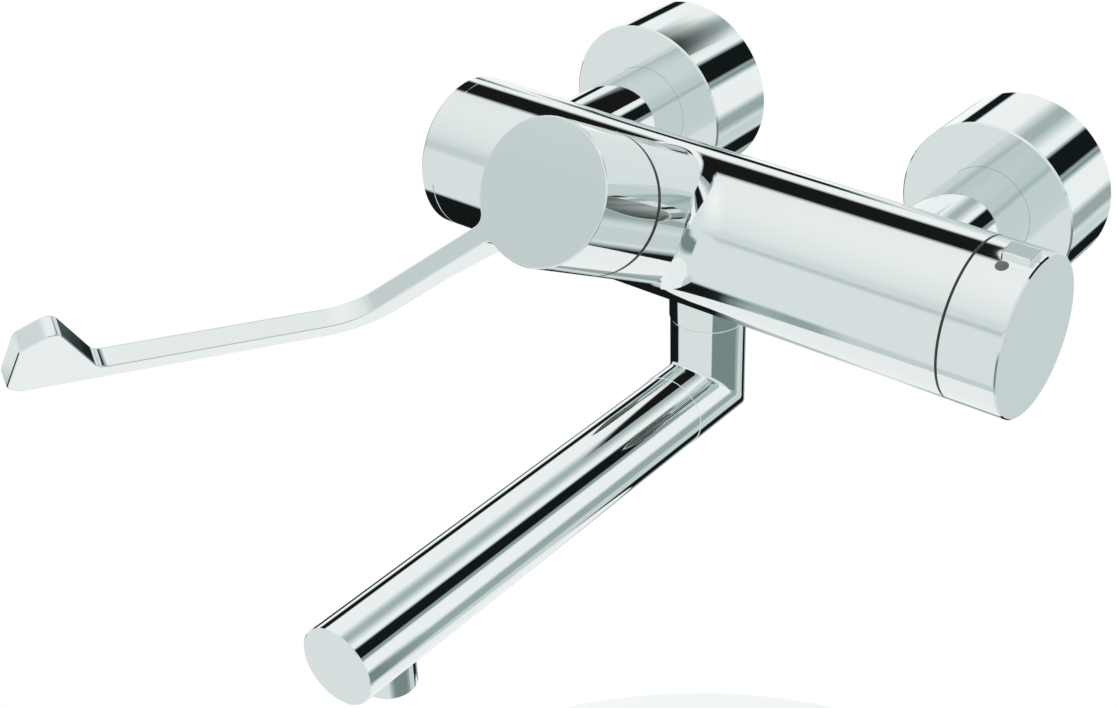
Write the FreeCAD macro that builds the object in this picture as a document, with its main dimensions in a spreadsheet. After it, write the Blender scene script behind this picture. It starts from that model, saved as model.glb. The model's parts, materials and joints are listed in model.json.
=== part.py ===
import FreeCAD, Part
import Sketcher
import math
import os
import re

# Wall-mounted thermostatic basin tap with a long elbow lever and a swivel spout.
# Millimetres. X runs along the tap's body to the right, Y into the wall, Z up.
# The origin lies on the wall, midway between the two water connections.

doc = FreeCAD.newDocument("wall_basin_tap")
sizes = doc.addObject("Spreadsheet::Sheet", "sizes")

DIMENSIONS = (
    # The wall and the two connections
    ("union_spacing", 150, "between the axes of the hot and cold connections"),
    ("wall_distance", 100.5, "from the wall to the axis of the body"),
    ("rosette_radius", 34, "wall rosette, outside"),
    ("rosette_depth", 32.5, "wall rosette, along its axis"),
    ("rosette_wall", 1.5, "wall rosette, sheet"),
    ("rosette_edge", 0.6, "wall rosette, bevel of the front edge"),
    ("sleeve_radius", 17.6, "cover sleeve, outside"),
    ("sleeve_wall", 1, "cover sleeve, sheet"),
    ("sleeve_insert", 8, "cover sleeve, length inside the rosette"),
    ("loose_fit", 0.3, "radial gap where pieces only pass each other"),
    ("seat_fit", 0.05, "radial gap where one piece sits in another"),
    ("run_fit", 0.06, "radial gap where one piece turns or slides in another"),
    ("wall_thread_radius", 10.48, "half-inch pipe thread of the wall end"),
    ("wall_thread_length", 15, "thread past the wall"),
    ("wall_neck_radius", 9.6, "plain neck between flange and thread"),
    ("union_offset", 4, "wall end of the union below its front end"),
    ("union_bore", 7, "waterway of the wall end"),
    ("union_flange_radius", 15, "union, round flange"),
    ("union_flange_depth", 5, "union, round flange along the axis"),
    ("union_front", 50, "front face of the union from the body's axis"),
    ("nut_thread_radius", 13.2, "three-quarter-inch pipe thread of the union nut"),
    ("nut_thread_length", 14, "threaded length of the union's front end"),
    ("nut_radius", 16.3, "union nut, outside"),
    ("nut_overhang", 12, "union nut, length over the union"),
    ("nut_lip", 3, "union nut, thickness of its inner lip"),
    ("nut_slot_width", 4, "union nut, spanner slots"),
    ("nut_slot_depth", 1.6, "union nut, spanner slots"),
    ("gasket_thickness", 2, "fibre washer"),
    ("gasket_radius", 12.8, "fibre washer, outside"),
    ("nipple_thread_radius", 10.4, "inlet nipple, thread in the body"),
    ("nipple_clearance", 0.6, "inlet nipple, clear of the thermostat's seat"),
    ("nipple_shoulder", 2, "shoulder in the body under the nipple"),
    ("nipple_neck_radius", 9.7, "inlet nipple, neck"),
    ("nipple_collar_radius", 12.9, "inlet nipple, collar under the nut"),
    ("nipple_collar_depth", 3, "inlet nipple, collar"),
    ("nipple_bore", 6, "inlet nipple, waterway"),
    ("valve_radius", 8, "non-return valve cartridge, outside"),
    ("valve_length", 18, "non-return valve cartridge"),
    ("valve_lead", 1, "waterway past the foot of the valve"),
    ("valve_way_radius", 1.5, "non-return valve, holes beside its guide"),
    ("valve_way_offset", 4.1, "non-return valve, holes from its axis"),
    ("valve_wall", 1.4, "non-return valve cartridge, wall"),
    ("valve_seat_radius", 4.6, "non-return valve, hole in its seat"),
    ("valve_seat_depth", 2, "non-return valve, thickness of seat and guide"),
    ("poppet_radius", 5.6, "valve poppet, head"),
    ("poppet_depth", 2, "valve poppet, head"),
    ("poppet_stem_radius", 1.2, "valve poppet, stem"),
    ("valve_spring_radius", 2.9, "valve spring, middle of the wire"),
    ("valve_spring_wire", 0.35, "valve spring, radius of the wire"),
    # The body
    ("body_radius", 28, "body, outside"),
    ("left_overhang", 25.5, "body, past the left connection to its end cap"),
    ("right_overhang", 32, "body, past the right connection to its knob"),
    ("cap_depth", 5.8, "end cap, visible rim"),
    ("cap_edge", 1, "end cap, bevel"),
    ("cap_groove", 0.35, "end cap, bevel at its joint with the body"),
    ("cap_thread_radius", 20, "end cap, threaded spigot"),
    ("cap_thread_length", 10, "end cap, threaded spigot"),
    ("chamber_radius", 14, "hot water chamber in the left half"),
    ("chamber_end", 45, "inner end of the hot water chamber, left of the middle"),
    ("passage_radius", 4.5, "cast waterways through the middle"),
    ("hot_passage_shift", 14.4, "hot waterway, behind the body's axis"),
    ("spout_passage_shift", 10.8, "waterway to the spout, in front of its axis"),
    ("passage_overlap", 2, "length that one waterway runs into the next"),
    ("ring_section", 1.1, "seal rings, radius of the section"),
    # The lever's hub
    ("hub_offset", 9.8, "hub axis, left of the middle"),
    ("hub_tilt", 28.6, "hub axis, degrees above the horizontal"),
    ("hub_radius", 24, "hub, outside"),
    ("hub_split", 53.5, "joint between body and lever, from the body's axis"),
    ("hub_gap", 1.8, "open joint under the lever's hub"),
    ("hub_face", 85.4, "flat face of the lever's hub, from the body's axis"),
    ("blend_radius", 9, "soft fillet between hub and body"),
    ("cartridge_radius", 17.4, "flow cartridge, outside"),
    ("cartridge_floor", 25, "floor of the cartridge's seat, from the body's axis"),
    ("cartridge_top", 47, "shoulder of the flow cartridge"),
    ("cartridge_wall", 2.4, "flow cartridge, wall"),
    ("cartridge_neck_radius", 10, "flow cartridge, neck"),
    ("cartridge_neck_top", 60, "top of the cartridge's neck"),
    ("flow_nut_radius", 20, "ring nut over the flow cartridge, thread"),
    ("flow_nut_depth", 6, "ring nut, threaded depth"),
    ("flow_nut_hex", 32, "ring nut, across flats"),
    ("flow_nut_hex_depth", 5, "ring nut, hexagon"),
    ("ceramic_thickness", 3.2, "ceramic discs"),
    ("ceramic_port_radius", 3.2, "ports in the ceramic discs"),
    ("ceramic_port_offset", 6.8, "ports in the ceramic discs, from the axis"),
    ("base_seal_thickness", 2, "rubber seal under the fixed disc"),
    ("carrier_thickness", 3, "carrier plate at the foot of the flow spindle"),
    ("flow_spindle_radius", 4.5, "flow spindle"),
    ("flow_spindle_top", 74, "top of the flow spindle"),
    ("lever_skirt_wall", 2.8, "wall of the lever's hollow hub"),
    ("lever_crown", 65, "inner roof of the lever's hub"),
    # The lever's arm, in the plane of the hub's axis
    ("lever_width", 6.5, "arm, across"),
    ("lever_shift", 1, "arm, to one side of the hub's axis"),
    ("lever_turn", 43.5, "arm, degrees below the body's line to the left"),
    ("lever_root_depth", 12.8, "arm, depth where it leaves the hub"),
    ("lever_depth", 9.4, "arm, depth before its bend"),
    ("lever_grip_depth", 8.1, "arm, depth along the straight grip"),
    ("lever_bend_at", 82.7, "corner of the bend, from the hub's axis"),
    ("lever_bend_angle", 61.6, "arm, degrees that it bends forward"),
    ("lever_bend_radius", 16, "inside of the bend"),
    ("lever_grip_length", 84.3, "grip, from the corner of the bend to the tip's step"),
    ("tip_height", 39, "tip, length of its sloping face"),
    ("tip_face_angle", 123, "tip, degrees of its sloping face"),
    ("tip_top", 13.6, "tip, its narrow top"),
    ("tip_top_angle", 11, "tip, degrees of its narrow top"),
    ("tip_end", 27, "tip, length of its blunt end"),
    ("tip_end_angle", 30, "tip, degrees that its blunt end falls"),
    ("tip_reach", 106.3, "tip, lowest corner along the back of the grip"),
    ("tip_step_radius", 6, "hollow between grip and tip"),
    ("tip_corner_radius", 3, "tip, rounded corners"),
    ("neck_radius", 4, "fillet between arm and hub"),
    ("arm_edge", 0.5, "arm, rounding of its long edges"),
    # The thermostat
    ("thermostat_radius", 17.4, "thermostat, wide part"),
    ("thermostat_foot_radius", 15.3, "thermostat, narrow part"),
    ("thermostat_wide", 47, "thermostat, its wide part inside the body"),
    ("thermostat_length", 64, "thermostat, inside the body"),
    ("thermostat_sunk", 3, "outer shoulder, inside the body's end"),
    ("thermostat_floor", 2, "thermostat, thickness of its inner end"),
    ("thermostat_ring_lead", 3, "seal rings, past each step"),
    ("thermostat_port_radius", 2.6, "thermostat, side ports"),
    ("hot_port_lead", 4, "hot ports, inside the step"),
    ("cold_port_lead", 14, "cold ports, past the step"),
    ("thermostat_bore", 11, "thermostat, inside"),
    ("thermostat_nut_flats", 30, "thermostat nut, across flats"),
    ("thermostat_nut_length", 8, "thermostat nut"),
    ("element_radius", 4.5, "wax element"),
    ("element_length", 26, "wax element"),
    ("element_depth", 53, "inner end of the wax element, inside the body's end"),
    ("element_collar", 1.5, "wax element, collar"),
    ("element_pin_radius", 2.5, "wax element, its pin"),
    ("element_gap", 0.6, "between the pin and the spindle"),
    ("piston_length", 9, "regulating piston"),
    ("piston_wall", 1.2, "regulating piston, wall"),
    ("piston_depth", 46, "inner end of the regulating piston, inside the body's end"),
    ("piston_way_radius", 1.4, "regulating piston, holes in its web"),
    ("return_spring_radius", 8, "return spring, middle of the wire"),
    ("return_spring_wire", 0.8, "return spring, radius of the wire"),
    ("temperature_spindle_radius", 5, "temperature spindle"),
    ("gland_depth", 23, "gland round the spindle, inside the body's end"),
    ("spindle_reach", 15, "temperature spindle, past the body's end"),
    ("stop_ring_radius", 19.5, "stop ring"),
    ("stop_ring_thickness", 2.6, "stop ring"),
    ("stop_notch_depth", 3, "stop ring, notch for the safety stop"),
    # The temperature knob
    ("knob_gap", 1, "open joint between body and knob"),
    ("knob_length", 21.4, "knob with its disc, past the body's end"),
    ("knob_edge", 0.5, "knob, bevel"),
    ("knob_wall", 3, "knob, wall"),
    ("knob_end_wall", 3, "knob, end wall behind its disc"),
    ("end_disc", 1.3, "knob, flat disc over its end"),
    ("knob_screw_radius", 2.5, "knob screw, thread"),
    ("knob_screw_length", 12, "knob screw, thread"),
    ("knob_screw_head", 4.2, "knob screw, head"),
    ("knob_screw_head_depth", 2.4, "knob screw, head along its axis"),
    ("knob_socket_radius", 9, "knob, socket for the spindle"),
    ("knob_socket_lead", 9, "knob's socket, past the body's end"),
    ("button_turn", 85.7, "safety button, degrees from the front towards the top"),
    ("button_width", 8, "safety button, across"),
    ("button_lead", 8.8, "safety button, past the body's end"),
    ("button_length", 10.4, "safety button, along the body"),
    ("button_corner", 1.2, "safety button, rounded corners"),
    ("button_rise", 2.2, "safety button, above the knob"),
    ("button_travel", 1.4, "safety button, how far it presses in"),
    ("button_depth", 6, "safety button, below the knob's surface"),
    ("button_flange", 1.2, "safety button, flange that keeps it in the knob"),
    ("button_spring_radius", 1.6, "button spring, middle of the wire"),
    ("button_spring_wire", 0.3, "button spring, radius of the wire"),
    ("bridge_depth", 12.5, "bridge under the button, below the knob's surface"),
    ("button_gap", 0.25, "gap round the safety button"),
    ("dot_turn", 71.7, "index dot, degrees from the front towards the top"),
    ("dot_lead", 11, "index dot, past the body's end"),
    ("dot_radius", 2.2, "index dot"),
    ("dot_depth", 1.2, "index dot, thickness"),
    ("dot_sunk", 0.1, "index dot, below the knob's surface"),
    # The spout
    ("spout_offset", 2, "spout axis, right of the middle"),
    ("stem_radius", 14, "boss over the spout's stem"),
    ("elbow_radius", 13.65, "elbow with its stem, outside"),
    ("boss_length", 6, "boss, below the body"),
    ("elbow_drop", 29.9, "axis of the spout's tube, below the boss"),
    ("elbow_reach", 23.7, "end of the elbow, in front of the stem's axis"),
    ("elbow_bore", 10.5, "waterway of the elbow"),
    ("nipple_radius", 9.3, "swivel nipple of the elbow"),
    ("nipple_length", 19, "swivel nipple, inside the boss"),
    ("spout_ring_lead", 4, "upper seal ring, below the nipple's top"),
    ("spout_ring_spacing", 5, "between the two seal rings"),
    ("waterway_roof", 3, "nipple, thickness of its foot"),
    ("nipple_waterway", 6.3, "waterway of the swivel nipple"),
    ("glide_thickness", 0.6, "glide washer"),
    ("spout_screw_radius", 2, "grub screw that holds the spout"),
    ("lever_screw_radius", 2.5, "grub screw that holds the lever"),
    ("lever_screw_length", 8, "grub screw that holds the lever"),
    ("groove_depth", 1.2, "groove of the nipple for its grub screw"),
    ("tube_radius", 13.3, "spout tube, outside"),
    ("tube_wall", 1.2, "spout tube, wall"),
    ("tube_tail", 12, "spout tube, length inside the elbow"),
    ("spout_reach", 191, "closed end of the spout, in front of its axis"),
    ("end_cap_thickness", 1.6, "spout end cap"),
    ("end_cap_edge", 0.3, "spout end cap, bevel"),
    ("outlet_setback", 20.5, "axis of the outlet, behind the spout's closed end"),
    ("outlet_radius", 8.4, "outlet socket, outside"),
    ("outlet_wall", 1.2, "outlet socket, wall"),
    ("outlet_low", 20, "lower rim of the outlet, below the tube's axis"),
    ("outlet_top", 8, "upper rim of the outlet socket, below the tube's axis"),
    ("aerator_depth", 7, "aerator"),
    ("aerator_recess", 1, "aerator, inside the rim of the outlet"),
    ("aerator_plate", 1.4, "aerator, thickness of its grille"),
    ("aerator_hole", 0.8, "aerator, holes of the outlet grille"),
    ("aerator_inner_ring", 1.9, "aerator, inner ring of holes"),
    ("aerator_outer_ring", 4.4, "aerator, outer ring of holes"),
    ("aerator_seal_thickness", 1.5, "aerator seal"),
    ("cut_past", 1, "length that a cut runs past the face it opens"),
)

# Places along the body, the stem and the spout that follow from those sizes
PLACES = (
    ("body_left", "union_spacing / 2 + left_overhang", "seat of the end cap, left of the middle"),
    ("body_right", "union_spacing / 2 + right_overhang", "end of the body, right of the middle"),
    ("nipple_end", "thermostat_radius + nipple_clearance", "inner end of the inlet nipples"),
    ("thermostat_step", "body_right - thermostat_wide", "change of radius"),
    ("thermostat_foot", "body_right - thermostat_length", "inner end"),
    ("thermostat_head", "body_right - thermostat_sunk", "outer shoulder"),
    ("nut_end", "thermostat_head + thermostat_nut_length", "outer face of the thermostat's nut"),
    ("element_foot", "body_right - element_depth", "inner end of the wax element"),
    ("piston_start", "body_right - piston_depth", "inner end of the regulating piston"),
    ("gland", "body_right - gland_depth", "gland round the temperature spindle"),
    ("spindle_end", "body_right + spindle_reach", "outer end of the temperature spindle"),
    ("knob_end", "body_right + knob_length", "flat end of the knob"),
    ("knob_socket", "body_right + knob_socket_lead", "inner end of the knob's socket"),
    ("button_start", "body_right + button_lead", "inner end of the safety button"),
    ("button_end", "button_start + button_length", "outer end of the safety button"),
    ("button_root", "body_radius - button_depth", "lowest point of the safety button, from the axis"),
    ("bridge_radius", "body_radius - bridge_depth", "bridge under the safety button, from the axis"),
    ("dot_at", "body_right + dot_lead", "index dot"),
    ("stem_joint", "body_radius + boss_length", "joint of boss and stem, below the body's axis"),
    ("spout_drop", "stem_joint + elbow_drop", "axis of the spout's tube, below the body's axis"),
    ("nipple_top", "stem_joint - nipple_length", "top of the swivel nipple, below the body's axis"),
    ("outlet_at", "spout_reach - outlet_setback", "axis of the outlet, in front of the stem"),
)

for row, (name, value, note) in enumerate(DIMENSIONS + PLACES, start=1):
    sizes.set(f"A{row}", note)
    sizes.set(f"B{row}", f"={value}" if isinstance(value, str) else str(value))
    sizes.setAlias(f"B{row}", name)
doc.recompute()

NAMES = re.compile(r"\b(" + "|".join(name for name, value, note in DIMENSIONS + PLACES) + r")\b")
# How near a point lies to the one that is looked for
TOUCH = 0.01


def bound(text):
    """The same formula with its size names pointing at the sheet."""
    return NAMES.sub(r"sizes.\1", str(text))


def number(text):
    """The present value of a formula."""
    return float(sizes.evalExpression(bound(text)))


def turn(axis, angle):
    """A rotation formula about one of the row's axes."""
    return f"create(<<rotation>>; create(<<vector>>; {axis}); {angle})"


UNTURNED = turn("0; 0; 1", "0")


def spot(x, y, z, rotation=UNTURNED):
    """A placement formula."""
    return f"create(<<placement>>; create(<<vector>>; {x}; {y}; {z}); {rotation})"


def moved(frame, x="0", y="0", z="0"):
    """A frame shifted along the row's own axes."""
    return spot(x, y, z) + " * " + frame


def inside(frame, x="0", y="0", z="0", rotation=UNTURNED):
    """A frame shifted and turned along its own axes."""
    return frame + " * " + spot(x, y, z, rotation)


def place(piece, frame):
    piece.setExpression("Placement", bound(frame))
    return piece


# Each frame's Z axis is the axis that its pieces are turned about.
ON_BODY = ("0", "-wall_distance", "0")
ON_STEM = ("spout_offset", "-wall_distance", "0")
LEANING = turn("1; 0; 0", "90 - hub_tilt")
ALONG_BODY = spot(*ON_BODY, turn("0; 1; 0", "90"))
ALONG_HUB = spot("-hub_offset", "-wall_distance", "0", LEANING)
ALONG_LEVER = inside(ALONG_HUB, rotation=turn("0; 0; 1", "180 + lever_turn"))
UNDER_HUB = inside(ALONG_HUB, z="(lever_crown + flow_spindle_top) / 2", rotation=turn("1; 0; 0", "90"))
UP_SPOUT = spot(*ON_STEM)
BEHIND_STEM = inside(UP_SPOUT, z="-(stem_joint + body_radius) / 2", rotation=turn("1; 0; 0", "-90"))
ALONG_TUBE = inside(UP_SPOUT, z="-spout_drop", rotation=turn("1; 0; 0", "90"))
UNDER_OUTLET = inside(ALONG_TUBE, z="outlet_at", rotation=turn("1; 0; 0", "90"))
OVER_BUTTON = spot(*ON_BODY, turn("1; 0; 0", "90 - button_turn"))
OVER_DOT = inside(spot(*ON_BODY), x="dot_at", rotation=turn("1; 0; 0", "90 - dot_turn"))
SIDES = {"left": "-union_spacing / 2", "right": "union_spacing / 2"}


def to_wall(side):
    """The frame of one connection, pointing at the wall."""
    return spot(SIDES[side], "-wall_distance", "0", turn("1; 0; 0", "-90"))


def new_body(label, frame):
    body = doc.addObject("PartDesign::Body", label)
    body.Label = label
    place(body, frame)
    return body


def origin_plane(body, role):
    return next(item for item in body.Origin.OriginFeatures if item.Role == role)


def new_sketch(body, role, height="0"):
    """An empty sketch on one of the body's own planes, lifted off it by a named height."""
    sketch = body.newObject("Sketcher::SketchObject", body.Name + "_sketch")
    sketch.AttachmentSupport = [(origin_plane(body, role), "")]
    sketch.MapMode = "FlatFace"
    sketch.AttachmentOffset = FreeCAD.Placement(FreeCAD.Vector(0, 0, number(height)), FreeCAD.Rotation())
    sketch.setExpression("AttachmentOffset.Base.z", bound(height))
    return sketch


def hold(sketch, kind, geometry, point, text):
    """Hold a point of the sketch at a named distance from the origin."""
    index = sketch.addConstraint(Sketcher.Constraint(kind, -1, 1, geometry, point, number(text)))
    sketch.setExpression(f"Constraints[{index}]", bound(text))


def draw_outline(sketch, corners):
    """A closed outline of straight sides between named corners."""
    spots = [FreeCAD.Vector(number(u), number(v), 0) for u, v in corners]
    start = sketch.GeometryCount
    for here, there in zip(spots, spots[1:] + spots[:1]):
        sketch.addGeometry(Part.LineSegment(here, there), False)
    count = len(corners)
    for step, (u, v) in enumerate(corners):
        sketch.addConstraint(
            Sketcher.Constraint("Coincident", start + (step - 1) % count, 2, start + step, 1))
        hold(sketch, "DistanceX", start + step, 1, u)
        hold(sketch, "DistanceY", start + step, 1, v)
    return sketch


def draw_circle(sketch, radius, u="0", v="0"):
    centre = FreeCAD.Vector(number(u), number(v), 0)
    circle = sketch.addGeometry(Part.Circle(centre, FreeCAD.Vector(0, 0, 1), number(radius)), False)
    hold(sketch, "DistanceX", circle, 3, u)
    hold(sketch, "DistanceY", circle, 3, v)
    index = sketch.addConstraint(Sketcher.Constraint("Radius", circle, number(radius)))
    sketch.setExpression(f"Constraints[{index}]", bound(radius))
    return sketch


def feature(body, kind, sketch, **settings):
    item = body.newObject("PartDesign::" + kind, body.Name + "_" + kind.lower())
    item.Profile = sketch
    sketch.Visibility = False
    for name, value in settings.items():
        if isinstance(value, str) and name in ("Length", "Length2"):
            item.setExpression(name, bound(value))
        else:
            setattr(item, name, value)
    return item


def turned(label, frame, *outlines):
    """A piece made on a lathe: each outline is (radius, height) corners turned about the axis."""
    body = new_body(label, frame)
    for corners in outlines:
        sketch = draw_outline(new_sketch(body, "XZ_Plane"), corners)
        feature(body, "Revolution", sketch, ReferenceAxis=(sketch, ["V_Axis"]), Angle=360)
    return body


def tube(outside, inside, low, high):
    """The outline of a plain ring or tube."""
    return ((inside, low), (outside, low), (outside, high), (inside, high))


def rod(radius, low, high):
    return tube(radius, "0", low, high)


def cut_away(body, sketch, through="200", symmetric=True):
    """Cut a sketch out of the body, and make sure that it removes something."""
    doc.recompute()
    before = body.Shape.Volume
    pocket = feature(body, "Pocket", sketch, Length=through)
    if symmetric:
        pocket.SideType = "Symmetric"
    doc.recompute()
    if body.Shape.Volume > before - TOUCH:
        raise ValueError("a cut in " + body.Label + " removes nothing")
    return pocket


def pattern(body, source, count):
    """Repeat a feature round the body's axis."""
    ring = body.newObject("PartDesign::PolarPattern", body.Name + "_ring")
    ring.Originals = [source]
    ring.Axis = (origin_plane(body, "Z_Axis"), [""])
    ring.Angle = 360
    ring.Occurrences = count
    body.Tip = ring
    return ring


def cylinder(label, frame, radius, height, start="0"):
    """A plain cylinder in a frame, used in booleans."""
    item = doc.addObject("Part::Cylinder", label)
    item.Label = label
    item.setExpression("Radius", bound(radius))
    item.setExpression("Height", bound(height))
    return place(item, inside(frame, z=start))


def block(label, frame, x, y, z):
    """A box in a frame, from the low to the high end of each range."""
    item = doc.addObject("Part::Box", label)
    item.Label = label
    for name, (low, high) in (("Length", x), ("Width", y), ("Height", z)):
        item.setExpression(name, bound(f"{high} - ({low})"))
    return place(item, inside(frame, x[0], y[0], z[0]))


def boolean(kind, label, base, tool):
    item = doc.addObject("Part::" + kind, label)
    item.Label = label
    item.Base = base
    item.Tool = tool
    return item


def fused(label, pieces):
    item = doc.addObject("Part::MultiFuse", label)
    item.Label = label
    item.Shapes = pieces
    return item


def seal_rings(label, frame, rings):
    """Rubber rings on one axis, each given by its radius and its height."""
    links = []
    for radius, height in rings:
        ring = doc.addObject("Part::Torus", label + "_ring")
        ring.setExpression("Radius1", bound(radius))
        ring.setExpression("Radius2", bound("ring_section"))
        ring.Placement.Base = FreeCAD.Vector(0, 0, number(height))
        ring.setExpression("Placement.Base.z", bound(height))
        links.append(ring)
    group = doc.addObject("Part::Compound", label)
    group.Label = label
    group.Links = links
    return place(group, frame)


def coil(label, frame, radius, wire, low, high, turns):
    """A compression spring of round wire between two heights."""
    helix = doc.addObject("Part::Helix", label + "_helix")
    helix.setExpression("Radius", bound(radius))
    rise = f"({high} - ({low}) - 2 * ({wire}))"
    helix.setExpression("Height", bound(rise))
    helix.setExpression("Pitch", bound(f"{rise} / {turns}"))
    section = doc.addObject("Part::Circle", label + "_section")
    section.setExpression("Radius", bound(wire))
    section.Placement = FreeCAD.Placement(
        FreeCAD.Vector(number(radius), 0, 0), FreeCAD.Rotation(FreeCAD.Vector(1, 0, 0), 90))
    section.setExpression("Placement.Base.x", bound(radius))
    sweep = doc.addObject("Part::Sweep", label + "_sweep")
    sweep.Sections = [section]
    sweep.Spine = (helix, [])
    sweep.Solid = True
    sweep.Frenet = True
    sweep.Placement.Base = FreeCAD.Vector(0, 0, number(f"{low} + {wire}"))
    sweep.setExpression("Placement.Base.z", bound(f"{low} + {wire}"))
    group = doc.addObject("Part::Compound", label)
    group.Label = label
    group.Links = [sweep]
    return place(group, frame)


def hexagon(flats):
    """The corners of a hexagon across flats."""
    corner = f"{flats} / 2 / cos(30)"
    return [(f"{corner} * cos({60 * side})", f"{corner} * sin({60 * side})") for side in range(6)]


def edges_where(body, wanted):
    """The names of a body's edges whose middle and direction are the wanted ones."""
    names = []
    for index, edge in enumerate(body.Tip.Shape.Edges, start=1):
        span = (edge.FirstParameter + edge.LastParameter) / 2
        if wanted(edge.valueAt(span), edge.tangentAt(span)):
            names.append(f"Edge{index}")
    return names


def rounded(body, names, radius):
    """Round the named edges of a body's last feature."""
    if not names:
        raise ValueError("no edge to round on " + body.Label)
    base = body.Tip
    fillet = body.newObject("PartDesign::Fillet", body.Name + "_fillet")
    fillet.Base = (base, names)
    fillet.Radius = radius
    doc.recompute()
    return fillet


pieces = []


# Main body: one brass casting with the hub's stub and the spout's boss on it
def make_main_body():
    barrel = cylinder("barrel", ALONG_BODY, "body_radius", "body_left + body_right", "-body_left")
    stub = cylinder("stub", ALONG_HUB, "hub_radius", "hub_split")
    joined = boolean("Fuse", "barrel_and_stub", barrel, stub)
    doc.recompute()
    blend = doc.addObject("Part::Fillet", "blend")
    blend.Base = joined
    seams = [index for index, edge in enumerate(joined.Shape.Edges, start=1)
             if not isinstance(edge.Curve, (Part.Circle, Part.Line))]
    radius = number("blend_radius")
    blend.Edges = [(index, radius, radius) for index in seams]
    boss = cylinder("boss", UP_SPOUT, "stem_radius", "stem_joint", "-stem_joint")
    solid = boolean("Fuse", "casting", blend, boss)
    hollows = [
        turned("cap_seat", ALONG_BODY, (
            ("0", "-body_left - cut_past"), ("cap_thread_radius + seat_fit", "-body_left - cut_past"),
            ("cap_thread_radius + seat_fit", "-body_left + cap_thread_length + cut_past"),
            ("chamber_radius", "-body_left + cap_thread_length + cut_past"),
            ("chamber_radius", "-chamber_end"), ("0", "-chamber_end"))),
        turned("thermostat_seat", ALONG_BODY, (
            ("0", "thermostat_foot - cut_past"),
            ("thermostat_foot_radius + seat_fit", "thermostat_foot - cut_past"),
            ("thermostat_foot_radius + seat_fit", "thermostat_step"),
            ("thermostat_radius + seat_fit", "thermostat_step"),
            ("thermostat_radius + seat_fit", "body_right + cut_past"), ("0", "body_right + cut_past"))),
        turned("cartridge_seat", ALONG_HUB, (
            ("0", "cartridge_floor"), ("cartridge_radius + seat_fit", "cartridge_floor"),
            ("cartridge_radius + seat_fit", "cartridge_top"),
            ("flow_nut_radius + seat_fit", "cartridge_top"),
            ("flow_nut_radius + seat_fit", "hub_split + cut_past"), ("0", "hub_split + cut_past"))),
        turned("nipple_seat", UP_SPOUT, (
            ("0", "-stem_joint - cut_past"), ("nipple_radius + run_fit", "-stem_joint - cut_past"),
            ("nipple_radius + run_fit", "-nipple_top + cut_past"), ("0", "-nipple_top + cut_past"))),
        cylinder("hot_passage", moved(ALONG_BODY, y="hot_passage_shift"), "passage_radius",
                 "chamber_end + thermostat_foot + 2 * passage_overlap",
                 "-chamber_end - passage_overlap"),
        cylinder("mixed_passage", moved(ALONG_BODY, y="-passage_radius", z="passage_radius"),
                 "passage_radius", "thermostat_foot + hub_offset", "-hub_offset"),
        cylinder("cartridge_inlet", ALONG_HUB, "passage_radius", "cartridge_floor"),
        cylinder("spout_passage", moved(UP_SPOUT, y="-spout_passage_shift"), "passage_radius",
                 "nipple_top + cartridge_floor / 2", "-nipple_top - cut_past"),
        cylinder("spout_screw_hole", BEHIND_STEM, "spout_screw_radius + seat_fit", "stem_radius",
                 "nipple_radius - cut_past"),
    ]
    for side in SIDES:
        hollows.append(cylinder("inlet_seat_" + side, to_wall(side),
                                "nipple_thread_radius + seat_fit", "body_radius",
                                "nipple_end - nipple_shoulder"))
        hollows.append(cylinder("inlet_passage_" + side, to_wall(side), "nipple_bore", "body_radius"))
    hollow = fused("waterways", hollows)
    return boolean("Cut", "main_body", solid, hollow)


pieces.append(make_main_body())


# Wall connections: rosette, sleeve, eccentric union, nut, washer, nipple and non-return valve
NUT_SLOTS = 4
VALVE_WAYS = 6
SPRING_TURNS = 5


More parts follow.
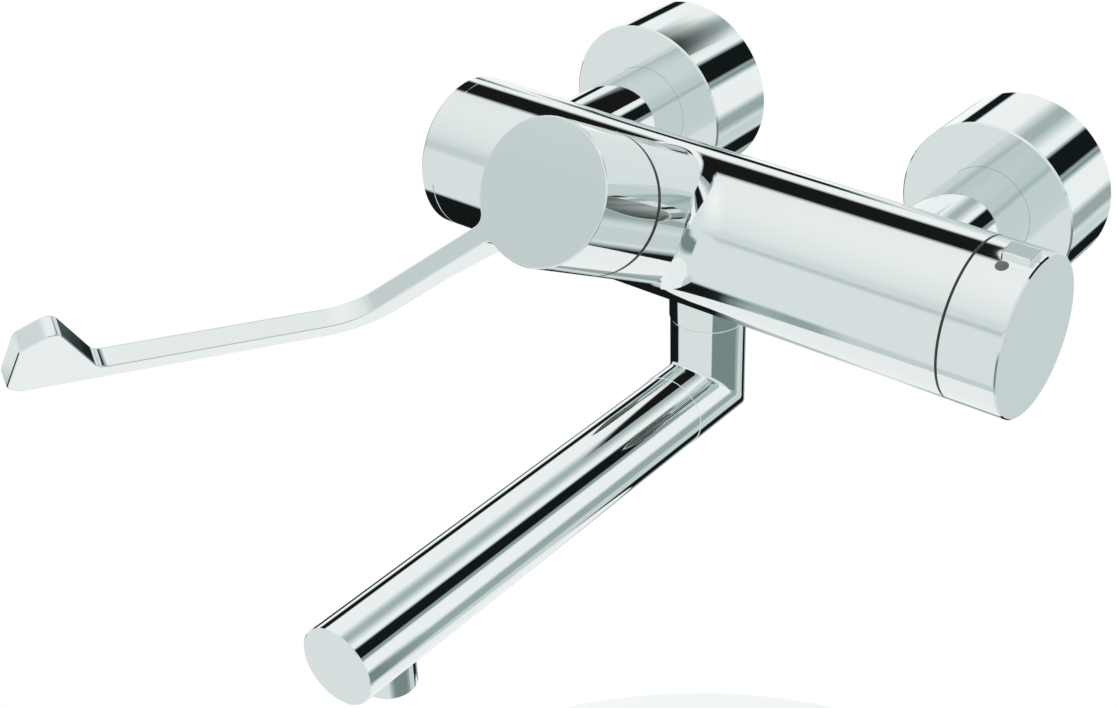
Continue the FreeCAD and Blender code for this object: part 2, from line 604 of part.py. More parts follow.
def make_connection(side):
    frame = to_wall(side)
    face = "wall_distance - rosette_depth"
    hole = "sleeve_radius + seat_fit"
    rosette = turned("rosette_" + side, frame, (
        (hole, face), ("rosette_radius - rosette_edge", face), ("rosette_radius", face + " + rosette_edge"),
        ("rosette_radius", "wall_distance"), ("rosette_radius - rosette_wall", "wall_distance"),
        ("rosette_radius - rosette_wall", face + " + rosette_wall"), (hole, face + " + rosette_wall")))
    blank = turned("sleeve_blank_" + side, frame, tube(
        "sleeve_radius", "sleeve_radius - sleeve_wall", "body_radius / 2", face + " + sleeve_insert"))
    saddle = cylinder("sleeve_saddle_" + side, ALONG_BODY, "body_radius + seat_fit",
                      "body_left + body_right", "-body_left")
    sleeve = boolean("Cut", "sleeve_" + side, blank, saddle)
    collar = "union_front - gasket_thickness"
    valve_foot = f"{collar} - valve_length - valve_lead"
    nipple = turned("inlet_nipple_" + side, frame, (
        ("nipple_bore", "nipple_end"), ("nipple_thread_radius", "nipple_end"),
        ("nipple_thread_radius", "body_radius"), ("nipple_neck_radius", "body_radius"),
        ("nipple_neck_radius", f"{collar} - nipple_collar_depth"),
        ("nipple_collar_radius", f"{collar} - nipple_collar_depth"),
        ("nipple_collar_radius", collar), ("valve_radius + seat_fit", collar),
        ("valve_radius + seat_fit", valve_foot), ("nipple_bore", valve_foot)))
    gasket = turned("union_gasket_" + side, frame, tube(
        "gasket_radius", "valve_radius", collar, "union_front"))
    lip = f"{collar} - nipple_collar_depth - nut_lip"
    nut = turned("union_nut_" + side, frame, (
        ("nipple_neck_radius + loose_fit", lip), ("nut_radius", lip),
        ("nut_radius", "union_front + nut_overhang"),
        ("nut_thread_radius + seat_fit", "union_front + nut_overhang"),
        ("nut_thread_radius + seat_fit", lip + " + nut_lip"),
        ("nipple_neck_radius + loose_fit", lip + " + nut_lip")))
    slot = draw_outline(new_sketch(nut, "XY_Plane", lip), (
        ("nut_radius - nut_slot_depth", "-nut_slot_width / 2"),
        ("nut_radius + cut_past", "-nut_slot_width / 2"),
        ("nut_radius + cut_past", "nut_slot_width / 2"),
        ("nut_radius - nut_slot_depth", "nut_slot_width / 2")))
    pattern(nut, cut_away(nut, slot, "nut_overhang"), NUT_SLOTS)
    flange = "union_front + nut_thread_length"
    union_pieces = [
        cylinder("union_thread_" + side, frame, "nut_thread_radius", "nut_thread_length", "union_front"),
        cylinder("union_flange_" + side, frame, "union_flange_radius", "union_flange_depth", flange),
        cylinder("union_neck_" + side, moved(frame, z="-union_offset"), "wall_neck_radius",
                 f"wall_distance - ({flange})", flange),
        cylinder("union_tail_" + side, moved(frame, z="-union_offset"), "wall_thread_radius",
                 "wall_thread_length", "wall_distance"),
    ]
    union_holes = [
        cylinder("union_front_bore_" + side, frame, "valve_radius",
                 "nut_thread_length + union_flange_depth / 2 + cut_past", "union_front - cut_past"),
        cylinder("union_tail_bore_" + side, moved(frame, z="-union_offset"), "union_bore",
                 f"wall_distance + wall_thread_length + cut_past - ({flange})", flange),
    ]
    union = boolean("Cut", "s_union_" + side, fused("union_solid_" + side, union_pieces),
                    fused("union_bores_" + side, union_holes))
    inner = "valve_radius - valve_wall"
    housing = turned("valve_housing_" + side, frame, (
        ("valve_seat_radius", collar + " - valve_seat_depth"), ("valve_seat_radius", collar),
        ("valve_radius", collar), ("valve_radius", collar + " - valve_length"),
        ("poppet_stem_radius + run_fit", collar + " - valve_length"),
        ("poppet_stem_radius + run_fit", collar + " - valve_length + valve_seat_depth"),
        (inner, collar + " - valve_length + valve_seat_depth"), (inner, collar + " - valve_seat_depth")))
    ways = draw_circle(new_sketch(housing, "XY_Plane", collar + " - valve_length"),
                       "valve_way_radius", "valve_way_offset")
    pattern(housing, cut_away(housing, ways, "valve_seat_depth * 3"), VALVE_WAYS)
    seat = collar + " - valve_seat_depth"
    poppet = turned("valve_poppet_" + side, frame, (
        ("0", valve_foot), ("poppet_stem_radius", valve_foot),
        ("poppet_stem_radius", f"{seat} - poppet_depth - seat_fit"),
        ("poppet_radius", f"{seat} - poppet_depth - seat_fit"), ("poppet_radius", f"{seat} - seat_fit"),
        ("0", f"{seat} - seat_fit")))
    spring = coil("valve_spring_" + side, frame, "valve_spring_radius", "valve_spring_wire",
                  f"({collar} - valve_length + valve_seat_depth)",
                  f"({seat} - poppet_depth - seat_fit)", SPRING_TURNS)
    return [rosette, sleeve, nipple, gasket, nut, union, housing, poppet, spring]


for side in SIDES:
    pieces.extend(make_connection(side))


# Left end cap, screwed in against a seal ring
pieces.append(turned("left_end_cap", ALONG_BODY, (
    ("0", "-body_left - cap_depth"), ("body_radius - cap_edge", "-body_left - cap_depth"),
    ("body_radius", "-body_left - cap_depth + cap_edge"), ("body_radius", "-body_left - cap_groove"),
    ("body_radius - cap_groove", "-body_left"),
    ("cap_thread_radius - 2 * ring_section", "-body_left"),
    ("cap_thread_radius - 2 * ring_section", "-body_left + 2 * ring_section"),
    ("cap_thread_radius", "-body_left + 2 * ring_section"),
    ("cap_thread_radius", "-body_left + cap_thread_length"), ("0", "-body_left + cap_thread_length"))))
pieces.append(seal_rings("cap_seal_ring", ALONG_BODY, (
    ("cap_thread_radius - ring_section + seat_fit / 2", "-body_left + ring_section"),)))


# Thermostat: housing, piston, wax element, return spring, spindle, seal rings, nut, stop ring and
# the glide ring under the knob
THERMOSTAT_PORTS = 6
PISTON_WAYS = 8


def make_thermostat():
    bore = "thermostat_bore"
    floor = "thermostat_foot + thermostat_floor"
    shoulder = "thermostat_head"
    groove = "ring_section * 2"
    step_ring = "thermostat_foot + thermostat_ring_lead"
    cold_ring = "thermostat_step + thermostat_ring_lead"
    head_ring = "gland"
    outline = [
        ("element_radius + loose_fit", "thermostat_foot"), ("thermostat_foot_radius", "thermostat_foot")]
    for radius, low in (("thermostat_foot_radius", step_ring), ("thermostat_radius", cold_ring),
                        ("thermostat_radius", head_ring)):
        if radius == "thermostat_radius" and low == cold_ring:
            outline += [("thermostat_foot_radius", "thermostat_step"), (radius, "thermostat_step")]
        high = f"{low} + {groove}"
        outline += [(radius, low), (f"{radius} - {groove}", low), (f"{radius} - {groove}", high),
                    (radius, high)]
    outline += [
        ("thermostat_radius", shoulder), ("temperature_spindle_radius + run_fit", shoulder),
        ("temperature_spindle_radius + run_fit", "gland"),
        (bore, "gland"), (bore, floor), ("element_radius + loose_fit", floor)]
    housing = turned("thermostat_housing", ALONG_BODY, outline)
    for height in ("thermostat_step - hot_port_lead", "thermostat_step + cold_port_lead"):
        port = draw_circle(new_sketch(housing, "XZ_Plane"), "thermostat_port_radius", "0", height)
        hole = cut_away(housing, port, "thermostat_radius + cut_past", symmetric=False)
        pattern(housing, hole, THERMOSTAT_PORTS)
    rings = seal_rings("thermostat_seal_rings", ALONG_BODY, [
        (f"{radius} - ring_section + seat_fit / 2", f"{low} + ring_section") for radius, low in (
            ("thermostat_foot_radius", step_ring), ("thermostat_radius", cold_ring),
            ("thermostat_radius", head_ring))])
    piston_end = "piston_start + piston_length"
    web = f"{piston_end} - piston_wall * 2"
    piston = turned("regulating_piston", ALONG_BODY, (
        ("element_radius + seat_fit", web), (f"{bore} - run_fit - piston_wall", web),
        (f"{bore} - run_fit - piston_wall", "piston_start"), (f"{bore} - run_fit", "piston_start"),
        (f"{bore} - run_fit", piston_end), ("element_radius + seat_fit", piston_end)))
    ways = draw_circle(new_sketch(piston, "XY_Plane", web), "piston_way_radius",
                       "(element_radius + thermostat_bore) / 2")
    pattern(piston, cut_away(piston, ways, "piston_wall * 6"), PISTON_WAYS)
    pin_end = "element_foot + element_length"
    element = turned("wax_element", ALONG_BODY, (
        ("0", "element_foot"), ("element_radius", "element_foot"),
        ("element_radius", web), ("element_radius", piston_end),
        ("element_radius + element_collar", piston_end),
        ("element_radius + element_collar", f"{piston_end} + element_collar"),
        ("element_pin_radius", f"{piston_end} + element_collar"), ("element_pin_radius", pin_end),
        ("0", pin_end)))
    spring = coil("return_spring", ALONG_BODY, "return_spring_radius", "return_spring_wire",
                  f"({floor})", f"({web})", SPRING_TURNS)
    spindle = turned("temperature_spindle", ALONG_BODY, (
        ("0", pin_end + " + element_gap"), ("element_pin_radius", pin_end + " + element_gap"),
        ("element_pin_radius", "gland + element_gap"), ("temperature_spindle_radius", "gland + element_gap"),
        ("temperature_spindle_radius", "spindle_end"), ("knob_screw_radius + seat_fit", "spindle_end"),
        ("knob_screw_radius + seat_fit", "spindle_end - knob_screw_length"),
        ("0", "spindle_end - knob_screw_length")))
    nut = turned("thermostat_nut", ALONG_BODY, rod("thermostat_radius", shoulder, "body_right"))
    flats = draw_outline(new_sketch(nut, "XY_Plane", "body_right"), hexagon("thermostat_nut_flats"))
    feature(nut, "Pad", flats, Length="nut_end - body_right")
    eye = draw_circle(new_sketch(nut, "XY_Plane", shoulder), "temperature_spindle_radius + loose_fit")
    cut_away(nut, eye, "thermostat_nut_length * 3")
    stop = turned("stop_ring", ALONG_BODY, tube(
        "stop_ring_radius", "temperature_spindle_radius + loose_fit", "nut_end",
        "nut_end + stop_ring_thickness"))
    notch = draw_outline(new_sketch(stop, "XY_Plane", "nut_end"), (
        ("-stop_ring_radius - cut_past", "0"), ("-stop_ring_radius + stop_notch_depth", "0"),
        ("-stop_ring_radius + stop_notch_depth", "stop_notch_depth * 2"),
        ("-stop_ring_radius - cut_past", "stop_notch_depth * 2")))
    cut_away(stop, notch, "stop_ring_thickness * 3")
    glide = turned("knob_glide_ring", ALONG_BODY, tube(
        "body_radius - run_fit", "body_radius - knob_wall + loose_fit", "body_right",
        "body_right + knob_gap - run_fit"))
    return [housing, rings, piston, element, spring, spindle, nut, stop, glide]


pieces.extend(make_thermostat())


# Temperature knob with its end disc, screw, safety button, button spring and index dot
def make_knob():
    back = "body_right + knob_gap"
    disc = "knob_end - end_disc"
    inner = "knob_end - end_disc - knob_end_wall"
    shell = turned("knob_shell", ALONG_BODY, (
        ("knob_screw_radius + seat_fit", disc), ("body_radius", disc), ("body_radius", back),
        ("body_radius - knob_wall", back), ("body_radius - knob_wall", inner),
        ("knob_socket_radius", inner), ("knob_socket_radius", "knob_socket"),
        ("temperature_spindle_radius + seat_fit", "knob_socket"),
        ("temperature_spindle_radius + seat_fit", "spindle_end"),
        ("knob_screw_radius + seat_fit", "spindle_end")))
    half = "button_width / 2 + button_gap"
    wide = "button_width / 2 + button_flange + button_gap"
    floor = "button_root - button_travel - button_gap"
    head = cylinder("knob_screw_pocket", ALONG_BODY, "knob_screw_head + seat_fit",
                    "knob_screw_head_depth + cut_past", disc + " - knob_screw_head_depth - seat_fit")
    slot = block("button_slot", OVER_BUTTON, ("button_start - button_gap", "knob_end"),
                 (f"-({half})", half), (floor, "body_radius + button_rise"))
    guide = block("button_guide", OVER_BUTTON, ("button_start - button_gap - button_flange", disc),
                  (f"-({wide})", wide), (floor, "body_radius - knob_wall + button_gap"))
    dot_hole = cylinder("dot_hole", OVER_DOT, "dot_radius + seat_fit", "dot_depth + 2 * cut_past",
                        "body_radius - dot_depth - seat_fit")
    bridge = block("button_bridge", OVER_BUTTON, ("button_start", inner),
                   ("-button_width / 2", "button_width / 2"),
                   ("knob_socket_radius - cut_past", "bridge_radius"))
    knob = boolean("Cut", "temperature_knob", fused("knob_casting", [shell, bridge]),
                   fused("knob_cuts", [head, slot, guide, dot_hole]))
    plate = turned("knob_end_disc", ALONG_BODY, (
        ("0", disc), ("body_radius", disc), ("body_radius", "knob_end - knob_edge"),
        ("body_radius - knob_edge", "knob_end"), ("0", "knob_end")))
    screw = turned("knob_screw", ALONG_BODY, (
        ("0", disc + " - seat_fit"), ("knob_screw_head", disc + " - seat_fit"),
        ("knob_screw_head", disc + " - knob_screw_head_depth"),
        ("knob_screw_radius", disc + " - knob_screw_head_depth"),
        ("knob_screw_radius", "spindle_end - knob_screw_length + cut_past"),
        ("0", "spindle_end - knob_screw_length + cut_past")))
    button = make_button()
    spring = coil("button_spring", inside(OVER_BUTTON, x="(button_start + button_end) / 2"),
                  "button_spring_radius", "button_spring_wire", "bridge_radius", "button_root", SPRING_TURNS)
    dot = turned("index_dot", OVER_DOT, rod(
        "dot_radius", "body_radius - dot_depth", "body_radius - dot_sunk"))
    return [knob, plate, screw, button, spring, dot]


def make_button():
    """The thumb piece, with a flange that keeps it from leaving the knob."""
    body = new_body("safety_button", OVER_BUTTON)
    flange = draw_outline(new_sketch(body, "XY_Plane", "button_root"), (
        ("button_start - button_flange", "-button_width / 2 - button_flange"),
        ("button_end", "-button_width / 2 - button_flange"),
        ("button_end", "button_width / 2 + button_flange"),
        ("button_start - button_flange", "button_width / 2 + button_flange")))
    feature(body, "Pad", flange, Length="body_radius - knob_wall - button_root")
    thumb = draw_outline(new_sketch(body, "XY_Plane", "button_root"), (
        ("button_start", "-button_width / 2"), ("button_end", "-button_width / 2"),
        ("button_end", "button_width / 2"), ("button_start", "button_width / 2")))
    feature(body, "Pad", thumb, Length="body_radius + button_rise - button_root")
    doc.recompute()
    top = number("body_radius + button_rise")
    corner = number("button_corner")
    shoulder = number("body_radius - knob_wall")
    standing = edges_where(body, lambda middle, way: abs(way.z) > 0.99 and middle.z > shoulder
                           and middle.x < number("(button_start + button_end) / 2"))
    rounded(body, standing, corner)
    rim = edges_where(body, lambda middle, way: abs(middle.z - top) < TOUCH)
    rounded(body, rim, corner / 2)
    return body


pieces.extend(make_knob())


# Flow cartridge in the hub: housing, rubber base, two ceramic discs, spindle, ring nut and glide ring
CERAMIC_PORTS = 2


def make_flow_cartridge():
    bore = "cartridge_radius - cartridge_wall"
    roof = "cartridge_top - cartridge_wall"
    housing = turned("flow_cartridge", ALONG_HUB, (
        (bore, "cartridge_floor"), ("cartridge_radius", "cartridge_floor"),
        ("cartridge_radius", "cartridge_top"), ("cartridge_neck_radius", "cartridge_top"),
        ("cartridge_neck_radius", "cartridge_neck_top"),
        ("flow_spindle_radius + run_fit", "cartridge_neck_top"), ("flow_spindle_radius + run_fit", roof),
        (bore, roof)))
    fixed_foot = "cartridge_floor + base_seal_thickness"
    moving_foot = f"{fixed_foot} + ceramic_thickness + run_fit"
    carrier_foot = f"{moving_foot} + ceramic_thickness"
    discs = []
    for label, low, high in (("cartridge_base_seal", "cartridge_floor", fixed_foot),
                             ("fixed_ceramic_disc", fixed_foot, fixed_foot + " + ceramic_thickness"),
                             ("moving_ceramic_disc", moving_foot, carrier_foot)):
        disc = turned(label, ALONG_HUB, rod(f"{bore} - run_fit", low, high))
        port = draw_circle(new_sketch(disc, "XY_Plane", low), "ceramic_port_radius", "ceramic_port_offset")
        pattern(disc, cut_away(disc, port, "ceramic_thickness * 3"), CERAMIC_PORTS)
        discs.append(disc)
    spindle = turned("flow_spindle", ALONG_HUB, (
        ("0", carrier_foot), (f"{bore} - run_fit", carrier_foot),
        (f"{bore} - run_fit", carrier_foot + " + carrier_thickness"),
        ("flow_spindle_radius", carrier_foot + " + carrier_thickness"),
        ("flow_spindle_radius", "flow_spindle_top"), ("0", "flow_spindle_top")))
    nut = turned("cartridge_nut", ALONG_HUB, rod(
        "flow_nut_radius", "cartridge_top", "cartridge_top + flow_nut_depth"))
    flats = draw_outline(new_sketch(nut, "XY_Plane", "cartridge_top + flow_nut_depth"),
                         hexagon("flow_nut_hex"))
    feature(nut, "Pad", flats, Length="flow_nut_hex_depth")
    eye = draw_circle(new_sketch(nut, "XY_Plane", "cartridge_top"), "cartridge_neck_radius + seat_fit")
    cut_away(nut, eye, "(flow_nut_depth + flow_nut_hex_depth) * 3")
    glide = turned("hub_glide_ring", ALONG_HUB, tube(
        "hub_radius - run_fit", "hub_radius - lever_skirt_wall + loose_fit", "hub_split",
        "hub_split + hub_gap - run_fit"))
    return [housing, *discs, spindle, nut, glide]


pieces.extend(make_flow_cartridge())


# Lever: a hollow hub and a flat arm that bends forward and ends in an upturned tip, cast in one
def make_lever():
    skirt = "hub_radius - lever_skirt_wall"
    hub = turned("lever", ALONG_LEVER, (
        (skirt, "hub_split + hub_gap"), ("hub_radius", "hub_split + hub_gap"),
        ("hub_radius", "hub_face"), ("0", "hub_face"), ("0", "flow_spindle_top + loose_fit"),
        ("flow_spindle_radius + seat_fit", "flow_spindle_top + loose_fit"),
        ("flow_spindle_radius + seat_fit", "lever_crown"), (skirt, "lever_crown")))
    lean = "lever_bend_angle"
    bend = ("lever_bend_at", "hub_face")
    step = stepped(bend, "lever_grip_length", lean)
    peak = stepped(step, "tip_height", "tip_face_angle")
    top = stepped(peak, "tip_top", "tip_top_angle")
    end = stepped(top, "tip_end", "-tip_end_angle")
    grip_back = (f"lever_bend_at + lever_grip_depth * sin({lean})",
                 f"hub_face - lever_grip_depth * cos({lean})")
    heel = stepped(grip_back, "tip_reach", lean)
    elbow = (f"lever_bend_at + lever_grip_depth / sin({lean}) - lever_depth / tan({lean})",
             "hub_face - lever_depth")
    corners = (("hub_radius / 2", "hub_face"), bend, step, peak, top, end, heel, elbow,
               ("hub_radius * 2", "hub_face - lever_depth"),
               ("hub_radius + neck_radius", "hub_face - lever_root_depth"),
               ("hub_radius / 2", "hub_face - lever_root_depth"))
    sketch = draw_outline(new_sketch(hub, "XZ_Plane", "-lever_shift"), corners)
    arm = feature(hub, "Pad", sketch, Length="lever_width")
    arm.SideType = "Symmetric"
    doc.recompute()
    for corner, radius in ((bend, "lever_bend_radius"), (elbow, "lever_bend_radius + lever_grip_depth"),
                           (step, "tip_step_radius"), (peak, "tip_corner_radius"), (top, "tip_corner_radius"),
                           (end, "tip_corner_radius"), (heel, "tip_corner_radius")):
        x, z = (number(text) for text in corner)
        crossing = edges_where(hub, lambda middle, way: abs(way.y) > 0.99
                               and math.hypot(middle.x - x, middle.z - z) < TOUCH)
        rounded(hub, crossing, number(radius))
    reach = number("hub_radius")
    roots = edges_where(hub, lambda middle, way: abs(way.z) > 0.99
                        and abs(math.hypot(middle.x, middle.y) - reach) < TOUCH and middle.x > 0)
    rounded(hub, roots, number("neck_radius"))
    sides = [number(f"{side}lever_width / 2 + lever_shift") for side in ("", "-")]
    rims = edges_where(hub, lambda middle, way: middle.x > reach * 2
                       and min(abs(abs(middle.y) - abs(side)) for side in sides) < TOUCH)
    rounded(hub, rims, number("arm_edge"))
    return hub


def stepped(start, length, angle):
    """The corner that lies a length away from another, at an angle."""
    return (f"{start[0]} + {length} * cos({angle})", f"{start[1]} + {length} * sin({angle})")


hub_with_arm = make_lever()
screw_hole = cylinder("lever_screw_hole", UNDER_HUB, "lever_screw_radius + seat_fit", "hub_radius",
                      "flow_spindle_radius")
lever = boolean("Cut", "lever_handle", hub_with_arm, screw_hole)
pieces.append(lever)
pieces.append(turned("lever_screw", UNDER_HUB, rod(
    "lever_screw_radius", "flow_spindle_radius + seat_fit", "flow_spindle_radius + lever_screw_length")))


# Spout: mitred elbow with its swivel nipple, tube, end cap, outlet, aerator, rings, washer and screw
INNER_HOLES = 6
OUTER_HOLES = 12


def make_spout():
    elbow = new_body("spout_elbow", UP_SPOUT)
    joint = "-stem_joint - glide_thickness"
    waterway = joint + " - waterway_roof"
    for kind, radius, top, end in (("AdditivePipe", "elbow_radius", joint, "-elbow_reach"),
                                   ("SubtractivePipe", "elbow_bore", waterway, "-elbow_reach - cut_past")):
        path = new_sketch(elbow, "YZ_Plane")
        spots = [("0", top), ("0", "-spout_drop"), (end, "-spout_drop")]
        for step in range(2):
            here, there = (FreeCAD.Vector(number(u), number(v), 0) for u, v in spots[step:step + 2])
            path.addGeometry(Part.LineSegment(here, there), False)
            for point in (1, 2):
                u, v = spots[step + point - 1]
                hold(path, "DistanceX", step, point, u)
                hold(path, "DistanceY", step, point, v)
        section = draw_circle(new_sketch(elbow, "XY_Plane", top), radius)
        pipe = feature(elbow, kind, section)
        pipe.Spine = (path, ["Edge1", "Edge2"])
        pipe.Transition = "Right corner"
        doc.recompute()
    groove = "ring_section * 2"
    upper_ring = "-nipple_top - spout_ring_lead"
    lower_ring = upper_ring + " - spout_ring_spacing"
    screw_low = "-(stem_joint + body_radius) / 2 - spout_screw_radius - seat_fit"
    outline = [("nipple_waterway", waterway), ("nipple_radius", waterway)]
    screw_high = f"{screw_low} + 2 * (spout_screw_radius + seat_fit)"
    for low, high, depth in ((screw_low, screw_high, "groove_depth"),
                             (lower_ring, f"{lower_ring} + {groove}", groove),
                             (upper_ring, f"{upper_ring} + {groove}", groove)):
        outline += [("nipple_radius", low), (f"nipple_radius - {depth}", low),
                    (f"nipple_radius - {depth}", high), ("nipple_radius", high)]
    outline += [("nipple_radius", "-nipple_top"), ("nipple_waterway", "-nipple_top")]
    sketch = draw_outline(new_sketch(elbow, "XZ_Plane"), outline)
    feature(elbow, "Revolution", sketch, ReferenceAxis=(sketch, ["V_Axis"]), Angle=360)
    doc.recompute()
    through = draw_circle(new_sketch(elbow, "XY_Plane", "-nipple_top"), "nipple_waterway")
    cut_away(elbow, through, f"-2 * ({waterway}) + cut_past")
    rings = seal_rings("spout_seal_rings", UP_SPOUT, [
        ("nipple_radius - ring_section + run_fit / 2", f"{low} + ring_section")
        for low in (lower_ring, upper_ring)])
    washer = turned("spout_glide_washer", UP_SPOUT, tube(
        "elbow_radius - loose_fit", "nipple_radius + seat_fit", joint, "-stem_joint"))
    screw = turned("spout_screw", BEHIND_STEM, rod(
        "spout_screw_radius", "nipple_radius - groove_depth + loose_fit", "stem_radius - loose_fit"))
    end = "spout_reach - end_cap_thickness"
    tail = "elbow_bore - seat_fit"
    pipe = turned("tube_blank", ALONG_TUBE, (
        (f"{tail} - tube_wall", "elbow_reach - tube_tail"), (tail, "elbow_reach - tube_tail"),
        (tail, "elbow_reach"), ("tube_radius", "elbow_reach"), ("tube_radius", end),
        ("tube_radius - tube_wall", end), ("tube_radius - tube_wall", "elbow_reach + tube_wall * 2"),
        (f"{tail} - tube_wall", "elbow_reach + tube_wall * 2")))
    mouth = cylinder("tube_mouth", UNDER_OUTLET, "outlet_radius + seat_fit", "tube_radius + cut_past")
    tube_piece = boolean("Cut", "spout_tube", pipe, mouth)
    cap = turned("spout_end_cap", ALONG_TUBE, (
        ("0", f"{end} - 2 * end_cap_thickness"),
        ("tube_radius - tube_wall - seat_fit", f"{end} - 2 * end_cap_thickness"),
        ("tube_radius - tube_wall - seat_fit", end), ("tube_radius", end),
        ("tube_radius", "spout_reach - end_cap_edge"), ("tube_radius - end_cap_edge", "spout_reach"),
        ("0", "spout_reach")))
    socket = turned("outlet_socket", UNDER_OUTLET, tube(
        "outlet_radius", "outlet_radius - outlet_wall", "outlet_top", "outlet_low"))
    face = "outlet_low - aerator_recess"
    fit = "outlet_radius - outlet_wall - seat_fit"
    aerator = turned("aerator", UNDER_OUTLET, (
        ("0", face), (fit, face), (fit, face + " - aerator_depth"),
        (fit + " - outlet_wall", face + " - aerator_depth"),
        (fit + " - outlet_wall", face + " - aerator_plate"),
        ("0", face + " - aerator_plate")))
    doc.recompute()
    for radius, count in (("aerator_inner_ring", INNER_HOLES), ("aerator_outer_ring", OUTER_HOLES)):
        drop = draw_circle(new_sketch(aerator, "XY_Plane", face), "aerator_hole", radius)
        pattern(aerator, cut_away(aerator, drop, "aerator_plate * 3"), count)
    gasket = turned("aerator_seal", UNDER_OUTLET, tube(
        fit, fit + " - outlet_wall", face + " - aerator_depth - aerator_seal_thickness",
        face + " - aerator_depth"))
    return [elbow, rings, washer, screw, tube_piece, cap, socket, aerator, gasket]


pieces.extend(make_spout())

# Each object's state and shape is checked before anything is written
doc.recompute()
for item in doc.Objects:
    if {"Invalid", "Error"} & set(item.State):
        raise ValueError(item.Name + " is " + " ".join(item.State))
for piece in pieces:
    if piece.Shape.isNull() or not piece.Shape.isValid():
        raise ValueError(piece.Label + " has no valid shape")
    print(piece.Label, len(piece.Shape.Solids), round(piece.Shape.Volume, 1))

os.makedirs("parts", exist_ok=True)
for piece in pieces:
    piece.Shape.exportStep(f"parts/{piece.Label}.step")
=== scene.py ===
import json
import math
import bpy
from mathutils import Matrix, Vector


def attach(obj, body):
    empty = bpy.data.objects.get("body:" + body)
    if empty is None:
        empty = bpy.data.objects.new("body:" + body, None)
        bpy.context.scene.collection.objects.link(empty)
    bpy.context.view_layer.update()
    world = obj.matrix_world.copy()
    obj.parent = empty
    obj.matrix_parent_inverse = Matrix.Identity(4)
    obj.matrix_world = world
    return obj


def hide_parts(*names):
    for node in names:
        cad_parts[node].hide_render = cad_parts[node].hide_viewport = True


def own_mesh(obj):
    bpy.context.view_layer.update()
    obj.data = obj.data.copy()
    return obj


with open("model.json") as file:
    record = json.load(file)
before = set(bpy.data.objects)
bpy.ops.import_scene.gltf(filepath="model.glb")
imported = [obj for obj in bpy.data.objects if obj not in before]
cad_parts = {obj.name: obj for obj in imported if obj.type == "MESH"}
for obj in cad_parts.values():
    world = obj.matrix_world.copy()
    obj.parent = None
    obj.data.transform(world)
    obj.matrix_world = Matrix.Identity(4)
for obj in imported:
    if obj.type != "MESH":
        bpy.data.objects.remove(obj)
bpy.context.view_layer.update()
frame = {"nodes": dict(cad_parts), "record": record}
nodes = frame["nodes"]
scene = bpy.context.scene

# Viewpoint: the tap is seen from its right, from in front and from above, through a longish lens.
# It stands left of the lens's axis in the picture, so the frame is shifted sideways.
CAMERA_SPOT = (0.3262, -0.5739, 0.3006)
CAMERA_RIGHT = Vector((0.83947, 0.54262, 0.02922))
CAMERA_UP = Vector((-0.31189, 0.43709, 0.84361))
LENS, SHIFT_ACROSS, SHIFT_UP, FIRST_SEEN = 59.58, -0.1966, 0.0274, 0.01
camera = bpy.data.objects.new("camera", bpy.data.cameras.new("camera"))
scene.collection.objects.link(camera)
camera_axes = Matrix((CAMERA_RIGHT, CAMERA_UP, CAMERA_RIGHT.cross(CAMERA_UP))).transposed()
camera.matrix_world = camera_axes.to_4x4()
camera.location = CAMERA_SPOT
camera.data.lens = LENS
camera.data.shift_x = SHIFT_ACROSS
camera.data.shift_y = SHIFT_UP
camera.data.clip_start = FIRST_SEEN
scene.camera = camera


class Value:
    """A socket that adds Math nodes when it is used in a sum."""

    def __init__(self, sheet, source):
        self.sheet = sheet
        self.source = source

    def __add__(self, other):
        return self.sheet.maths("ADD", self, other)

    def __radd__(self, other):
        return self.sheet.maths("ADD", other, self)

    def __sub__(self, other):
        return self.sheet.maths("SUBTRACT", self, other)

    def __rsub__(self, other):
        return self.sheet.maths("SUBTRACT", other, self)

    def __mul__(self, other):
        return self.sheet.maths("MULTIPLY", self, other)

    def __rmul__(self, other):
        return self.sheet.maths("MULTIPLY", other, self)

    def __or__(self, other):
        """1 where either of two masks is 1."""
        return self.sheet.maths("MAXIMUM", self, other)

    def __abs__(self):
        return self.sheet.maths("ABSOLUTE", self)

    def above(self, limit, soft):
        """1 where the value is over the limit, with a soft step."""
        return self.sheet.maths("MULTIPLY_ADD", self, 0.5 / soft, 0.5 - limit * 0.5 / soft, clamp=True)

    def between(self, low, high, soft):
        """1 where the value is between two limits, with soft steps."""
        return self.above(low, soft) * (1 - self.above(high, soft))


class Sheet:
    """The node sheet of one material or of the room's light."""

    def __init__(self, owner):
        owner.use_nodes = True
        self.tree = owner.node_tree
        self.tree.nodes.clear()
        self.owner = owner

    def node(self, kind, settings=None, inputs=None, output=0):
        """Any node: its settings first, then the values or links of its sockets."""
        item = self.tree.nodes.new(kind)
        for name, value in (settings or {}).items():
            setattr(item, name, value)
        for name, value in (inputs or {}).items():
            if isinstance(value, Value):
                self.tree.links.new(value.source, item.inputs[name])
            else:
                item.inputs[name].default_value = value
        return Value(self, item.outputs[output]) if item.outputs else item

    def maths(self, operation, *values, clamp=False):
        """A sum on sockets and numbers."""
        settings = {"operation": operation, "use_clamp": clamp}
        return self.node("ShaderNodeMath", settings, dict(enumerate(values)))

    def parts(self, vector):
        """The three numbers of a vector."""
        split = self.node("ShaderNodeSeparateXYZ", inputs={0: vector}).source.node
        return [Value(self, split.outputs[axis]) for axis in "XYZ"]

    def blend(self, amount, first, second):
        """A colour between two others. They go in at sockets 6 and 7, and it comes out at socket 2."""
        return self.node("ShaderNodeMix", {"data_type": "RGBA"}, {0: amount, 6: first, 7: second}, 2)

    def light_path(self, question):
        """What the light path says about the ray that looks at this spot."""
        return self.node("ShaderNodeLightPath", output=question)


